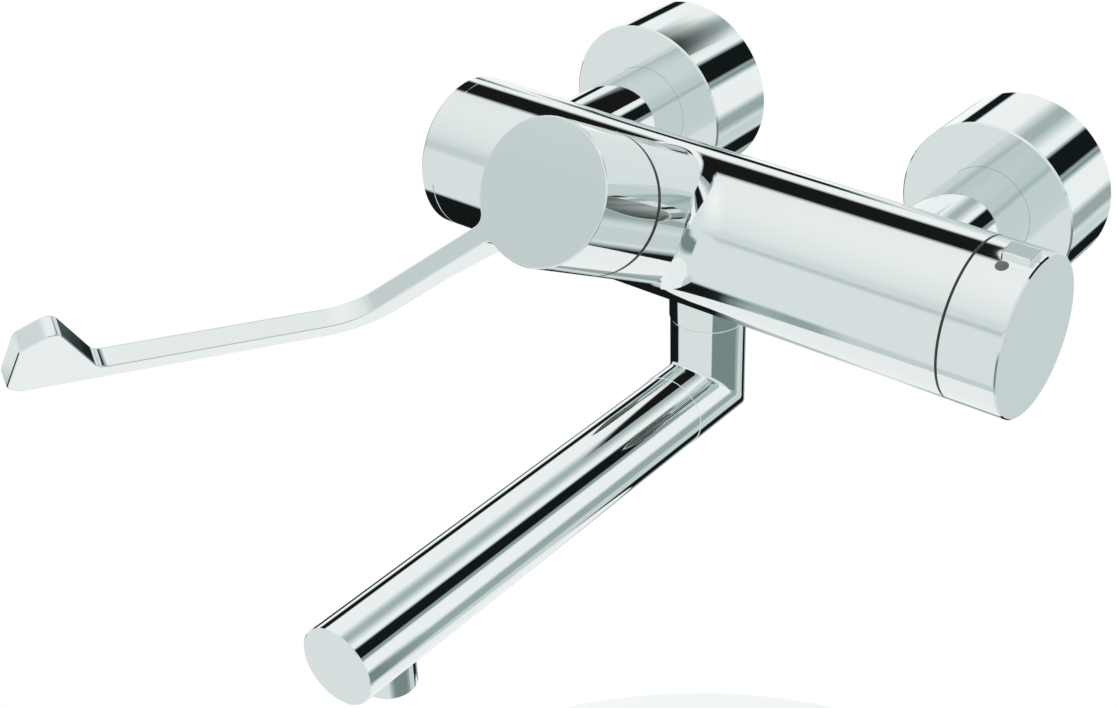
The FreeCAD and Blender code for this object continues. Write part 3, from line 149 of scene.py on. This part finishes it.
# Studio: a bright room with black and grey boards hung along the tap, out of the picture, which the
# polished chrome shows as long streaks. The camera sees plain white behind the tap, and matt pieces
# are lit by plain soft light.
WALL_GLOW, FRONT_GLOW, TOP_GLOW, PLAIN_LIGHT = 1.04, 0.88, 0.2, 0.85
COOL_SHADE, WHITE = (0.70, 1, 1, 1), (1, 1, 1, 1)
WALL_FIRST, WALL_LAST, END_SOFT, TOP_FROM, TOP_SOFT = 26, 66, 1, 55, 30
# A board hangs along the body or the spout. Its row gives the angles in degrees of its two long edges
# round that line, the angles of its two ends away from the body's left or the spout's wall end, how
# bright it is, and how softly its long edges fade.
BOARDS = (
    ("spout", -190, -166, 26, 66, 0.01, 3),
    ("spout", -166, -122, 26, 66, 0.42, 5),
    ("spout", -90, -70, 39, 66, 0.01, 2),
    ("spout", -90, -70, 26, 36, 0.01, 2),
    ("spout", -14, 14, 26, 66, 0.52, 9),
    ("spout", 34, 64, 26, 66, 0.01, 3),
    ("spout", 64, 71, 26, 66, 0.3, 3),
    ("spout", 112, 136, 26, 66, 0.45, 5),
    ("spout", 138, 158, 26, 66, 0.74, 4),
    ("spout", 160, 190, 26, 66, 0.01, 3),
    ("body", 19, 26, 41, 190, 0.66, 2.5),
    ("body", 26, 35, 41, 190, 0.82, 4),
    ("spout", -42, -24, 41, 44.5, 0.62, 2.5),
    ("body", -155, -56, 28, 62, 0.01, 2.5),
    ("body", -145, -62, 62, 65, 0.6, 2.5),
    ("body", -145, -62, 65, 68, 0.82, 2.5),
    ("body", -70, -54, 62, 65, 0.42, 2.5),
    ("body", -70, -54, 65, 74, 0.72, 2.5),
    ("body", 14, 27, 50, 60, 0.73, 3),
    ("body", -125, -108, 79.5, 83.5, 0.04, 2),
    ("spout", 105, 140, 58, 126, 0.28, 6),
)


def degrees(turn):
    """An angle in degrees, from radians."""
    return turn * math.degrees(1)


scene.view_settings.view_transform = "Standard"
scene.world = bpy.data.worlds.new("studio")
room = Sheet(scene.world)
across, inward, upward = room.parts(room.node("ShaderNodeTexCoord", output="Generated"))
round_line = {
    "spout": degrees(room.maths("ARCTAN2", across, upward)),
    "body": degrees(room.maths("ARCTAN2", upward, 0 - inward)),
}
from_end = {
    "spout": degrees(room.maths("ARCCOSINE", inward)),
    "body": degrees(room.maths("ARCCOSINE", 0 - across)),
}
overhead = degrees(room.maths("ARCSINE", upward)).above(TOP_FROM, TOP_SOFT)
wall_side = from_end["spout"].between(WALL_FIRST, WALL_LAST, END_SOFT)
shine = (FRONT_GLOW + TOP_GLOW * overhead) * (1 - wall_side) + WALL_GLOW * wall_side
for line, low_edge, high_edge, near_end, far_end, shade, soft in BOARDS:
    board = round_line[line].between(low_edge, high_edge, soft)
    board = board * from_end[line].between(near_end, far_end, END_SOFT)
    shine = shine * (1 - board) + shade * board
seen = room.light_path("Is Camera Ray")
mirrored = room.light_path("Is Glossy Ray")
light = shine * mirrored + PLAIN_LIGHT * (1 - mirrored)
strength = light * (1 - seen) + seen
background = room.node("ShaderNodeBackground", inputs={
    "Color": room.blend(strength, COOL_SHADE, WHITE), "Strength": strength})
room.node("ShaderNodeOutputWorld", inputs={"Surface": background})


class Finish(Sheet):
    """A new material, with its patterns in the piece's own coordinates."""

    def __init__(self, name):
        super().__init__(bpy.data.materials.new(name))
        self.place = self.node("ShaderNodeTexCoord", output="Object")

    def noise(self, scale, detail):
        """Clouds that get finer with the scale and rougher with the detail."""
        return self.node("ShaderNodeTexNoise", inputs={
            "Vector": self.place, "Scale": scale, "Detail": detail})

    def relief(self, height, depth):
        """Fine bumps, with their depth in metres."""
        return self.node("ShaderNodeBump", inputs={"Height": height, "Distance": depth, "Strength": 1.0})

    def done(self, shader):
        """The material, with this shader as its surface."""
        self.node("ShaderNodeOutputMaterial", inputs={"Surface": shader})
        return self.owner

    def solid(self, inputs):
        """The material of a solid surface, from the inputs of the principled shader."""
        return self.done(self.node("ShaderNodeBsdfPrincipled", inputs=inputs))


# Studio floor: a pale round table well below the tap, which stands for the floor of the room. Its
# matt white paint is as bright as the background behind the tap, and the lamps' shadow falls on it.
FLOOR_REACH, FLOOR_DROP, FLOOR_FRONT, FLOOR_SIDES = 0.26, 0.45, -0.1, 96


def floor_white():
    """Matt white paint with a fine grain. Chrome sees it as plain white light."""
    paint = Finish("floor_white")
    pale, paler = (0.9, 0.9, 0.9, 1), (0.94, 0.94, 0.94, 1)
    grain = paint.node("ShaderNodeTexNoise", inputs={"Vector": paint.place, "Scale": 300.0})
    matt = paint.node("ShaderNodeBsdfDiffuse", inputs={"Color": paint.blend(grain, pale, paler)})
    glow = paint.node("ShaderNodeEmission", inputs={"Color": WHITE, "Strength": 1.0})
    in_mirror = paint.light_path("Is Glossy Ray")
    return paint.done(paint.node("ShaderNodeMixShader", inputs={0: in_mirror, 1: matt, 2: glow}))


bpy.ops.object.select_all(action="DESELECT")
bpy.ops.mesh.primitive_circle_add(
    vertices=FLOOR_SIDES, radius=FLOOR_REACH, fill_type="NGON", location=(0, FLOOR_FRONT, -FLOOR_DROP))
bpy.ops.object.transform_apply(location=True)
floor = bpy.context.object
floor.name = "studio_floor"
floor.data.materials.append(floor_white())

# Black card: a long card that hangs behind and above the tap, out of the picture, draws the black
# streak along the top of the body. Only chrome that is near enough can see it, so the spout doesn't
# show it. It fades out at its long edges, at angles round a line along the top of the body.
CARD_MIDDLE, CARD_LENGTH, CARD_WIDTH, CARD_TILT = (-0.1915, 0.1045, 0.2437), 0.377, 0.24, -44
TOP_LINE_Y, TOP_LINE_Z, CARD_LOW, CARD_HIGH, CARD_SOFT = -0.104, 0.028, 118, 150, 3
CARD_REACH, REACH_SOFT, FELT_SHADE = 0.407, 0.005, 0.01


def black_felt():
    """Black felt between the card's long edges, seen only by rays that haven't come far."""
    felt = Finish("black_felt")
    y, z = felt.parts(felt.place)[1:]
    angle = degrees(felt.maths("ARCTAN2", z - TOP_LINE_Z, TOP_LINE_Y - y))
    far = felt.light_path("Ray Length").above(CARD_REACH, REACH_SOFT)
    covered = angle.between(CARD_LOW, CARD_HIGH, CARD_SOFT) * (1 - far)
    nothing = felt.node("ShaderNodeBsdfTransparent")
    black = felt.node("ShaderNodeEmission", inputs={"Color": WHITE, "Strength": FELT_SHADE})
    return felt.done(felt.node("ShaderNodeMixShader", inputs={0: covered, 1: nothing, 2: black}))


bpy.ops.object.select_all(action="DESELECT")
bpy.ops.mesh.primitive_plane_add(size=1, location=CARD_MIDDLE, rotation=(math.radians(CARD_TILT), 0, 0))
card = bpy.context.object
card.name = "studio_card"
card.scale = (CARD_LENGTH, CARD_WIDTH, 1)
bpy.ops.object.transform_apply(location=True, rotation=True, scale=True)
card.data.materials.append(black_felt())
for ray in ("camera", "diffuse", "transmission", "volume_scatter", "shadow"):
    setattr(card, "visible_" + ray, False)

# Lamps: two large round soft boxes, one on each side of the front, both aimed at the tap. They light
# the matt pieces and the floor, and the chrome doesn't show them.
LAMPS = (("key", (0.5, -0.8, 0.9), 0.9, 5), ("fill", (-0.9, -0.6, 0.5), 0.8, 3))
LAMP_AIM = Vector((0, -0.12, 0))
for name, spot, size, power in LAMPS:
    lamp = bpy.data.objects.new("lamp_" + name, bpy.data.lights.new("lamp_" + name, "AREA"))
    scene.collection.objects.link(lamp)
    lamp.data.shape = "DISK"
    lamp.data.size = size
    lamp.data.energy = power
    lamp.location = spot
    lamp.rotation_euler = (LAMP_AIM - Vector(spot)).to_track_quat("-Z", "Y").to_euler()
    lamp.visible_glossy = False

# Wall unions: each is a short turned brass pipe, and its wall end sits off centre, so that it can be
# turned until it meets the tap. Its wall end has a half-inch thread, cut with a die, which screws
# into the pipe in the wall. The right one is a copy of the left one.
UNION_SPACING, UNION_DROP = 0.15, 0.004
THREAD_PITCH, THREAD_LENGTH, THREAD_CREST, THREAD_ROOT = 0.001814, 0.015, 0.01048, 0.00932
THREAD_RUN_IN, THREAD_TIP, NECK, BORE, JOIN_BACK = 0.0016, 0.00925, 0.0096, 0.007, 0.0003
ROWS_A_TURN, THREAD_ROWS, THREAD_COLUMNS, FLANK_RISE = 8, 80, 96, 0.75
WELD, SLACK, SMOOTH_UNDER = 1e-6, 1e-5, 30


def pick(piece, wanted):
    """Select the vertices that a test wants, and leave the piece in edit mode."""
    bpy.ops.object.mode_set(mode="OBJECT")
    bpy.ops.object.select_all(action="DESELECT")
    bpy.context.view_layer.objects.active = piece
    piece.select_set(True)
    bpy.ops.object.mode_set(mode="EDIT")
    bpy.ops.mesh.select_mode(type="VERT")
    bpy.ops.mesh.select_all(action="DESELECT")
    bpy.ops.object.mode_set(mode="OBJECT")
    for vertex in piece.data.vertices:
        vertex.select = wanted(vertex.co)
    bpy.ops.object.mode_set(mode="EDIT")


def copy_of(piece, name):
    """A copy of a piece, with a mesh of its own."""
    copy = piece.copy()
    copy.data = piece.data.copy()
    copy.name = name
    scene.collection.objects.link(copy)
    return copy


def merged_copy(node, name):
    """A copy of a piece of the fixed frame with its loose triangles joined up."""
    copy = copy_of(nodes[node], name)
    pick(copy, lambda spot: True)
    bpy.ops.mesh.remove_doubles(threshold=WELD)
    bpy.ops.mesh.customdata_custom_splitnormals_clear()
    return copy


def cut(spot, way, **removed):
    """Cut the whole mesh in edit mode with a plane."""
    bpy.ops.mesh.select_all(action="SELECT")
    bpy.ops.mesh.bisect(plane_co=spot, plane_no=way, threshold=WELD, **removed)


def finished(piece, finish, body, slot, *stands_for):
    """Give a new piece its finish, fix it to its body and let it stand for pieces of the frame."""
    piece.data.materials.clear()
    piece.data.materials.append(finish)
    bpy.ops.object.mode_set(mode="OBJECT")
    bpy.ops.object.select_all(action="DESELECT")
    bpy.context.view_layer.objects.active = piece
    piece.select_set(True)
    bpy.ops.object.shade_smooth_by_angle(angle=math.radians(SMOOTH_UNDER))
    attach(piece, body)
    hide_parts(*stands_for)
    piece.visible_glossy = False


def dress(finish, *names):
    """Give pieces of the frame their finish."""
    for name in names:
        nodes[name].material_slots[0].material = finish


def at_join(spot, radius):
    """Whether a place is on one of the two rings where the thread meets the union."""
    return -JOIN_BACK - WELD < spot.y < WELD and abs(math.hypot(spot.x, spot.z) - radius) < SLACK


def turned_brass():
    """Bare brass from the lathe: fine tool rings round each axis, and dull brown patches."""
    brass = Finish("turned_brass")
    fresh, tarnished = (0.78, 0.56, 0.26, 1), (0.50, 0.33, 0.14, 1)
    x, y = brass.parts(brass.place)[:2]
    patches = brass.noise(scale=90.0, detail=4.0)
    brown = patches.between(low=0.42, high=0.75, soft=0.12)
    rings = brass.node("ShaderNodeTexNoise", {"noise_dimensions": "1D"}, {"W": x + y, "Scale": 5200.0})
    marks = 0.7 * rings + 0.3 * brass.noise(scale=900.0, detail=2.0)
    return brass.solid({
        "Base Color": brass.blend(brown, fresh, tarnished),
        "Metallic": 1.0,
        "Roughness": 0.26 + 0.22 * patches,
        "Normal": brass.relief(marks, depth=0.00002)})


def on_thread(turn, row):
    """A place on the thread, from a share of a turn and a row along it."""
    along = THREAD_PITCH * (row / ROWS_A_TURN + turn - 1)
    height = min(max(0.5 + FLANK_RISE * math.cos(math.tau * row / ROWS_A_TURN), 0), 1)
    radius = THREAD_ROOT + (THREAD_CREST - THREAD_ROOT) * height
    radius = NECK + (radius - NECK) * min(max(along / THREAD_RUN_IN, 0), 1)
    radius = min(radius, THREAD_TIP + max(THREAD_LENGTH - along, 0))
    return radius * math.sin(math.tau * turn), along, radius * math.cos(math.tau * turn)


# The thread starts as a flat grid: one turn lies across it and its rows lie along it. Its ends are
# cut square, and its end face and bore are drawn out of its last edge.
bpy.ops.object.select_all(action="DESELECT")
bpy.ops.mesh.primitive_grid_add(x_subdivisions=THREAD_COLUMNS, y_subdivisions=THREAD_ROWS, size=1)
thread = bpy.context.object
for vertex in thread.data.vertices:
    vertex.co = on_thread(vertex.co.x + 0.5, (vertex.co.y + 0.5) * THREAD_ROWS)
pick(thread, lambda spot: True)
bpy.ops.mesh.remove_doubles(threshold=SLACK)
cut((0, 0, 0), (0, 1, 0), clear_inner=True)
cut((0, THREAD_LENGTH, 0), (0, 1, 0), clear_outer=True)
pick(thread, lambda spot: spot.y > THREAD_LENGTH - WELD)
bpy.ops.mesh.extrude_edges_move()
bpy.ops.transform.resize(
    value=(BORE / THREAD_TIP, 1, BORE / THREAD_TIP), center_override=(0, THREAD_LENGTH, 0))
bpy.ops.mesh.extrude_edges_move(TRANSFORM_OT_translate={"value": (0, -THREAD_LENGTH, 0)})
bpy.ops.object.mode_set(mode="OBJECT")

# The union is brought to the thread, its plain wall end is cut off, and the two are joined at their
# outer and inner rings and taken back.
wall_union_left = merged_copy("s_union_left", "wall_union_left")
bpy.ops.mesh.select_all(action="SELECT")
bpy.ops.transform.translate(value=(UNION_SPACING / 2, 0, UNION_DROP))
cut((0, -JOIN_BACK, 0), (0, 1, 0), clear_outer=True)
bpy.ops.object.mode_set(mode="OBJECT")
thread.select_set(True)
bpy.ops.object.join()
for ring in (NECK, BORE):
    pick(wall_union_left, lambda spot: at_join(spot, ring))
    bpy.ops.mesh.select_mode(type="EDGE")
    bpy.ops.mesh.bridge_edge_loops()
bpy.ops.mesh.select_all(action="SELECT")
bpy.ops.mesh.normals_make_consistent(inside=False)
bpy.ops.transform.translate(value=(-UNION_SPACING / 2, 0, -UNION_DROP))
bpy.ops.object.mode_set(mode="OBJECT")
wall_union_right = copy_of(wall_union_left, "wall_union_right")
pick(wall_union_right, lambda spot: True)
bpy.ops.transform.translate(value=(UNION_SPACING, 0, 0))
bare_brass = turned_brass()
finished(wall_union_left, bare_brass, "tap_body", "brass", "s_union_left")
finished(wall_union_right, bare_brass, "tap_body", "brass", "s_union_right")

# Union nuts and inlet nipples: the slotted brass nuts are turned from bar and pull the nipples, which
# are screwed into the body, against the wall unions.
dress(bare_brass, "union_nut_left", "union_nut_right", "inlet_nipple_left", "inlet_nipple_right")


# Washers: a ring of red-brown vulcanised fibre, punched from sheet, lies between each union and its
# nipple. Its strands show as streaks in the colour and as a rough skin.
def vulcanised_fibre():
    """Red-brown fibre board with twisted strands."""
    fibre = Finish("vulcanised_fibre")
    dark, light_red = (0.23, 0.045, 0.022, 1), (0.40, 0.12, 0.06, 1)
    strands = fibre.node("ShaderNodeTexNoise", inputs={
        "Vector": fibre.place, "Scale": 700.0, "Detail": 5.0, "Roughness": 0.7, "Distortion": 1.5})
    return fibre.solid({
        "Base Color": fibre.blend(strands, dark, light_red),
        "Roughness": 0.6 + 0.3 * strands,
        "Normal": fibre.relief(strands, depth=0.00005)})


dress(vulcanised_fibre(), "union_gasket_left", "union_gasket_right")


def moulded(name, dark, pale, gloss):
    """Moulded plastic: cloudy in tone, with a gloss that varies where it left the mould."""
    plastic = Finish(name)
    clouds = plastic.noise(scale=120.0, detail=3.0)
    skin = plastic.noise(scale=2500.0, detail=1.0)
    return plastic.solid({
        "Base Color": plastic.blend(clouds, dark, pale),
        "Roughness": gloss + 0.15 * clouds,
        "Normal": plastic.relief(skin, depth=0.00001)})


def stainless_steel():
    """Drawn or turned stainless steel: finely streaked and a little smeared."""
    steel = Finish("stainless_steel")
    grey, pale_grey = (0.46, 0.46, 0.45, 1), (0.62, 0.62, 0.60, 1)
    drawn = steel.noise(scale=1500.0, detail=3.0)
    smears = steel.noise(scale=150.0, detail=2.0)
    return steel.solid({
        "Base Color": steel.blend(smears, grey, pale_grey),
        "Metallic": 1.0,
        "Roughness": 0.22 + 0.15 * drawn,
        "Normal": steel.relief(drawn, depth=0.000008)})


def coil_spring(node, name, body):
    """A coil spring of bare steel, fixed to its body in place of the frame's spring, with a mesh of its
    own.
    """
    spring = merged_copy(node, name)
    finished(spring, bare_steel, body, "steel", node)
    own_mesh(spring)


bare_steel = stainless_steel()
white_acetal = moulded("white_acetal", (0.70, 0.69, 0.65, 1), (0.80, 0.79, 0.76, 1), gloss=0.3)
dress(white_acetal, "valve_housing_left", "valve_housing_right", "valve_poppet_left", "valve_poppet_right")
for side, middle in (("left", -UNION_SPACING / 2), ("right", UNION_SPACING / 2)):
    coil_spring("valve_spring_" + side, "non_return_spring_" + side, "tap_body")

# Sleeves and rosettes: thin brass tubes and deep-drawn brass cups, polished and chrome-plated
# outside. They slide over the unions and hide them and the hole in the wall. Inside they aren't
# polished and have only the dull grey flash of the plating bath.
ROSETTE_FRONT, ROSETTE_INSIDE, SLEEVE_INSIDE, EDGE = -0.0316, 0.0333, 0.0169, 0.0001


def polished_chrome(name, hidden_side=None):
    """Mirror chrome with a faint haze, and dull grey plating where the piece can't be polished."""
    chrome = Finish(name)
    mirror, grey, pale_grey = (0.78, 0.83, 0.825, 1), (0.50, 0.53, 0.52, 1), (0.62, 0.64, 0.62, 1)
    dull = hidden_side(*chrome.parts(chrome.place)) if hidden_side else 0
    haze = chrome.noise(scale=40.0, detail=3.0)
    waves = chrome.noise(scale=90.0, detail=1.0)
    return chrome.solid({
        "Base Color": chrome.blend(dull, mirror, chrome.blend(haze, grey, pale_grey)),
        "Metallic": 1.0,
        "Roughness": 0.03 + 0.02 * haze + 0.35 * dull,
        "Normal": chrome.relief(waves, depth=0.00001)})


def from_axis(a, b):
    """How far a place is from an axis that lies where both numbers are nought."""
    return a.sheet.maths("SQRT", a * a + b * b)


def inside_wall_covers(x, y, z):
    """1 behind the rosettes' fronts and in the sleeves' bores."""
    reach = from_axis(abs(x) - UNION_SPACING / 2, z)
    in_rosette = y.above(ROSETTE_FRONT, EDGE) * (1 - reach.above(ROSETTE_INSIDE, EDGE))
    return in_rosette | (1 - reach.above(SLEEVE_INSIDE, EDGE))


dress(polished_chrome("chrome_on_wall_covers", inside_wall_covers),
      "rosette_left", "rosette_right", "sleeve_left", "sleeve_right")

# Body: one brass casting with the hub blended into its front and the boss for the spout below. It
# is ground, polished and chrome-plated outside, and bored for the thermostat and the cartridge. A
# chromed cap with a rubber ring is pressed into its left end.
BODY_INSIDE, HUB_INSIDE, HUB_START = 0.0272, 0.0208, 0.03
joints = {joint["name"]: joint for joint in frame["record"]["behaviour"]["joints"]}
HUB_LEFT, BODY_AXIS = joints["lever_turn"]["pos_m"][:2]
HUB_AHEAD, HUB_UP = joints["lever_turn"]["axis"][1:]


def inside_body(x, y, z):
    """1 in the bores of the barrel and of the hub."""
    ahead = y - BODY_AXIS
    in_barrel = 1 - from_axis(ahead, z).above(BODY_INSIDE, EDGE)
    up_hub = HUB_AHEAD * ahead + HUB_UP * z
    aside = HUB_UP * ahead - HUB_AHEAD * z
    in_hub = up_hub.above(HUB_START, EDGE) * (1 - from_axis(x - HUB_LEFT, aside).above(HUB_INSIDE, EDGE))
    return in_barrel | in_hub


def soft_rubber():
    """Black rubber: matt, with a bloom of grey dust."""
    rubber = Finish("seal_rubber")
    black, dusty = (0.012, 0.012, 0.012, 1), (0.045, 0.045, 0.045, 1)
    bloom = rubber.noise(scale=400.0, detail=4.0)
    return rubber.solid({
        "Base Color": rubber.blend(bloom, black, dusty),
        "Roughness": 0.55 + 0.25 * bloom,
        "Normal": rubber.relief(bloom, depth=0.00002)})


dress(polished_chrome("chrome_on_body", inside_body), "main_body", "left_end_cap")
seal_rubber = soft_rubber()
dress(seal_rubber, "cap_seal_ring")

# Thermostat: a white plastic housing with seal rings holds the wax element in its brass case, the
# piston that mixes the water and its return spring. A turned brass nut clamps it in the body, and
# a stop ring on it limits the knob.
dress(white_acetal, "thermostat_housing", "regulating_piston", "stop_ring")
dress(seal_rubber, "thermostat_seal_rings")
dress(bare_brass, "thermostat_nut", "temperature_spindle", "wax_element")
coil_spring("return_spring", "piston_return_spring", "tap_body")

# Temperature knob: a chromed brass shell with a pressed-in end disc, held by one long screw, and a
# black nylon ring on which it turns. Its safety button is a small chromed slide on a steel spring,
# and the index dot is grey enamel in a shallow pit.
KNOB_START, KNOB_END, KNOB_INSIDE = 0.1083, 0.1262, 0.0262


def inside_knob(x, y, z):
    """1 in the knob's hollow, behind its end disc."""
    in_bore = 1 - from_axis(y - BODY_AXIS, z).above(KNOB_INSIDE, EDGE)
    return x.between(KNOB_START, KNOB_END, EDGE) * in_bore


dress(polished_chrome("chrome_on_knob", inside_knob), "temperature_knob", "knob_end_disc")
dress(polished_chrome("chrome_on_button"), "safety_button")
dress(bare_steel, "knob_screw")
coil_spring("button_spring", "safety_button_spring", "knob")
black_nylon = moulded("black_nylon", (0.008, 0.008, 0.008, 1), (0.02, 0.02, 0.02, 1), gloss=0.4)
dress(black_nylon, "knob_glide_ring")
grey_enamel = moulded("grey_enamel", (0.075, 0.08, 0.08, 1), (0.12, 0.125, 0.125, 1), gloss=0.2)
dress(grey_enamel, "index_dot")

# Flow cartridge: a white plastic cartridge with a brass spindle and a rubber seal at its foot. A
# brass nut screws it into the hub, and a black nylon ring carries the lever.
dress(white_acetal, "flow_cartridge")
dress(bare_brass, "cartridge_nut", "flow_spindle")
dress(seal_rubber, "cartridge_base_seal")
dress(black_nylon, "hub_glide_ring")


# Ceramic discs: two discs in the cartridge, fired from alumina and lapped flat, slide on each other
# and open or close the water's way. They are off-white, with fine grains and a silky gloss.
def lapped_ceramic():
    """Off-white fired ceramic, lapped until it has a silky gloss."""
    ceramic = Finish("lapped_ceramic")
    cream, off_white = (0.72, 0.70, 0.62, 1), (0.86, 0.85, 0.80, 1)
    grains = ceramic.node("ShaderNodeTexVoronoi", inputs={"Vector": ceramic.place, "Scale": 3000.0})
    tone = 0.5 * grains + 0.5 * ceramic.noise(scale=200.0, detail=2.0)
    return ceramic.solid({
        "Base Color": ceramic.blend(tone, cream, off_white),
        "Roughness": 0.12 + 0.2 * grains})


dress(lapped_ceramic(), "fixed_ceramic_disc", "moving_ceramic_disc")

# Lever: a cast and polished chromed brass hub cap in one piece with its long flat arm, which steps
# down and ends in an upturned grip. A grub screw from below holds it on the spindle.
dress(polished_chrome("chrome_on_lever"), "lever_handle")
dress(bare_steel, "lever_screw")

# Spout elbow: two chromed brass tubes brazed in a mitre, with the swivel nipple above. Polishing
# has taken the sharpness off the mitre's edge, so here the edge is rounded. Two rubber rings seal
# the nipple, a white washer carries the elbow and a grub screw in the boss holds it.
ELBOW_CORNER = Vector(joints["spout_swivel"]["pos_m"])
ELBOW_RADIUS, ELBOW_INSIDE, MITRE_SLACK = 0.01365, 0.0125, 2e-5
ELBOW_ROUNDING, ROUNDING_STEPS, ELBOW_SHOULDER = 0.0009, 6, 0.0024


def on_mitre(spot):
    """Whether a place is on the outside edge where the two tubes of the elbow meet."""
    x, y, z = spot - ELBOW_CORNER
    return abs(y + z) < MITRE_SLACK and abs(math.hypot(x, y) - ELBOW_RADIUS) < MITRE_SLACK


def inside_elbow(x, y, z):
    """1 in the bores of the stem and of the tube, which meet at the mitre's corner."""
    x, y, z = x - ELBOW_CORNER.x, y - ELBOW_CORNER.y, z - ELBOW_CORNER.z
    stem = z.above(0, EDGE)
    in_stem = stem * (1 - from_axis(x, y).above(ELBOW_INSIDE, EDGE))
    in_tube = (1 - stem) * (1 - from_axis(x, z).above(ELBOW_INSIDE, EDGE))
    return in_stem + in_tube


swivel_elbow = merged_copy("spout_elbow", "swivel_elbow")
for step in (-ELBOW_SHOULDER, ELBOW_SHOULDER):
    cut(ELBOW_CORNER + Vector((0, step, 0)), (0, 1, 1))
pick(swivel_elbow, on_mitre)
bpy.ops.mesh.select_mode(type="EDGE")
bpy.ops.mesh.bevel(offset=ELBOW_ROUNDING, segments=ROUNDING_STEPS, affect="EDGES")
elbow_chrome = polished_chrome("chrome_on_elbow", inside_elbow)
finished(swivel_elbow, elbow_chrome, "spout", "chrome_elbow", "spout_elbow")
dress(seal_rubber, "spout_seal_rings")
dress(white_acetal, "spout_glide_washer")
dress(bare_steel, "spout_screw")

# Spout: a drawn brass tube, closed with a pressed cap and with a short socket brazed in below, all
# chromed. The socket holds the aerator, a white plastic grille over a rubber seal.
SPOUT_INSIDE, SPOUT_CAP = 0.0127, -0.2895


def inside_spout(x, y, z):
    """1 in the tube's bore, up to the cap that closes it."""
    reach = from_axis(x - ELBOW_CORNER.x, z - ELBOW_CORNER.z)
    return (1 - reach.above(SPOUT_INSIDE, EDGE)) * y.above(SPOUT_CAP, EDGE)


dress(polished_chrome("chrome_on_spout", inside_spout), "spout_tube", "spout_end_cap", "outlet_socket")
dress(white_acetal, "aerator")
dress(seal_rubber, "aerator_seal")

# Mirror images: in the photograph the rosettes and sleeves show each other, and otherwise the chrome
# shows the room and hardly anything of the tap. So mirrors can't see the other pieces. The new
# pieces were hidden from them when they were finished.
for name, node in nodes.items():
    node.visible_glossy = name.startswith(("rosette", "sleeve"))
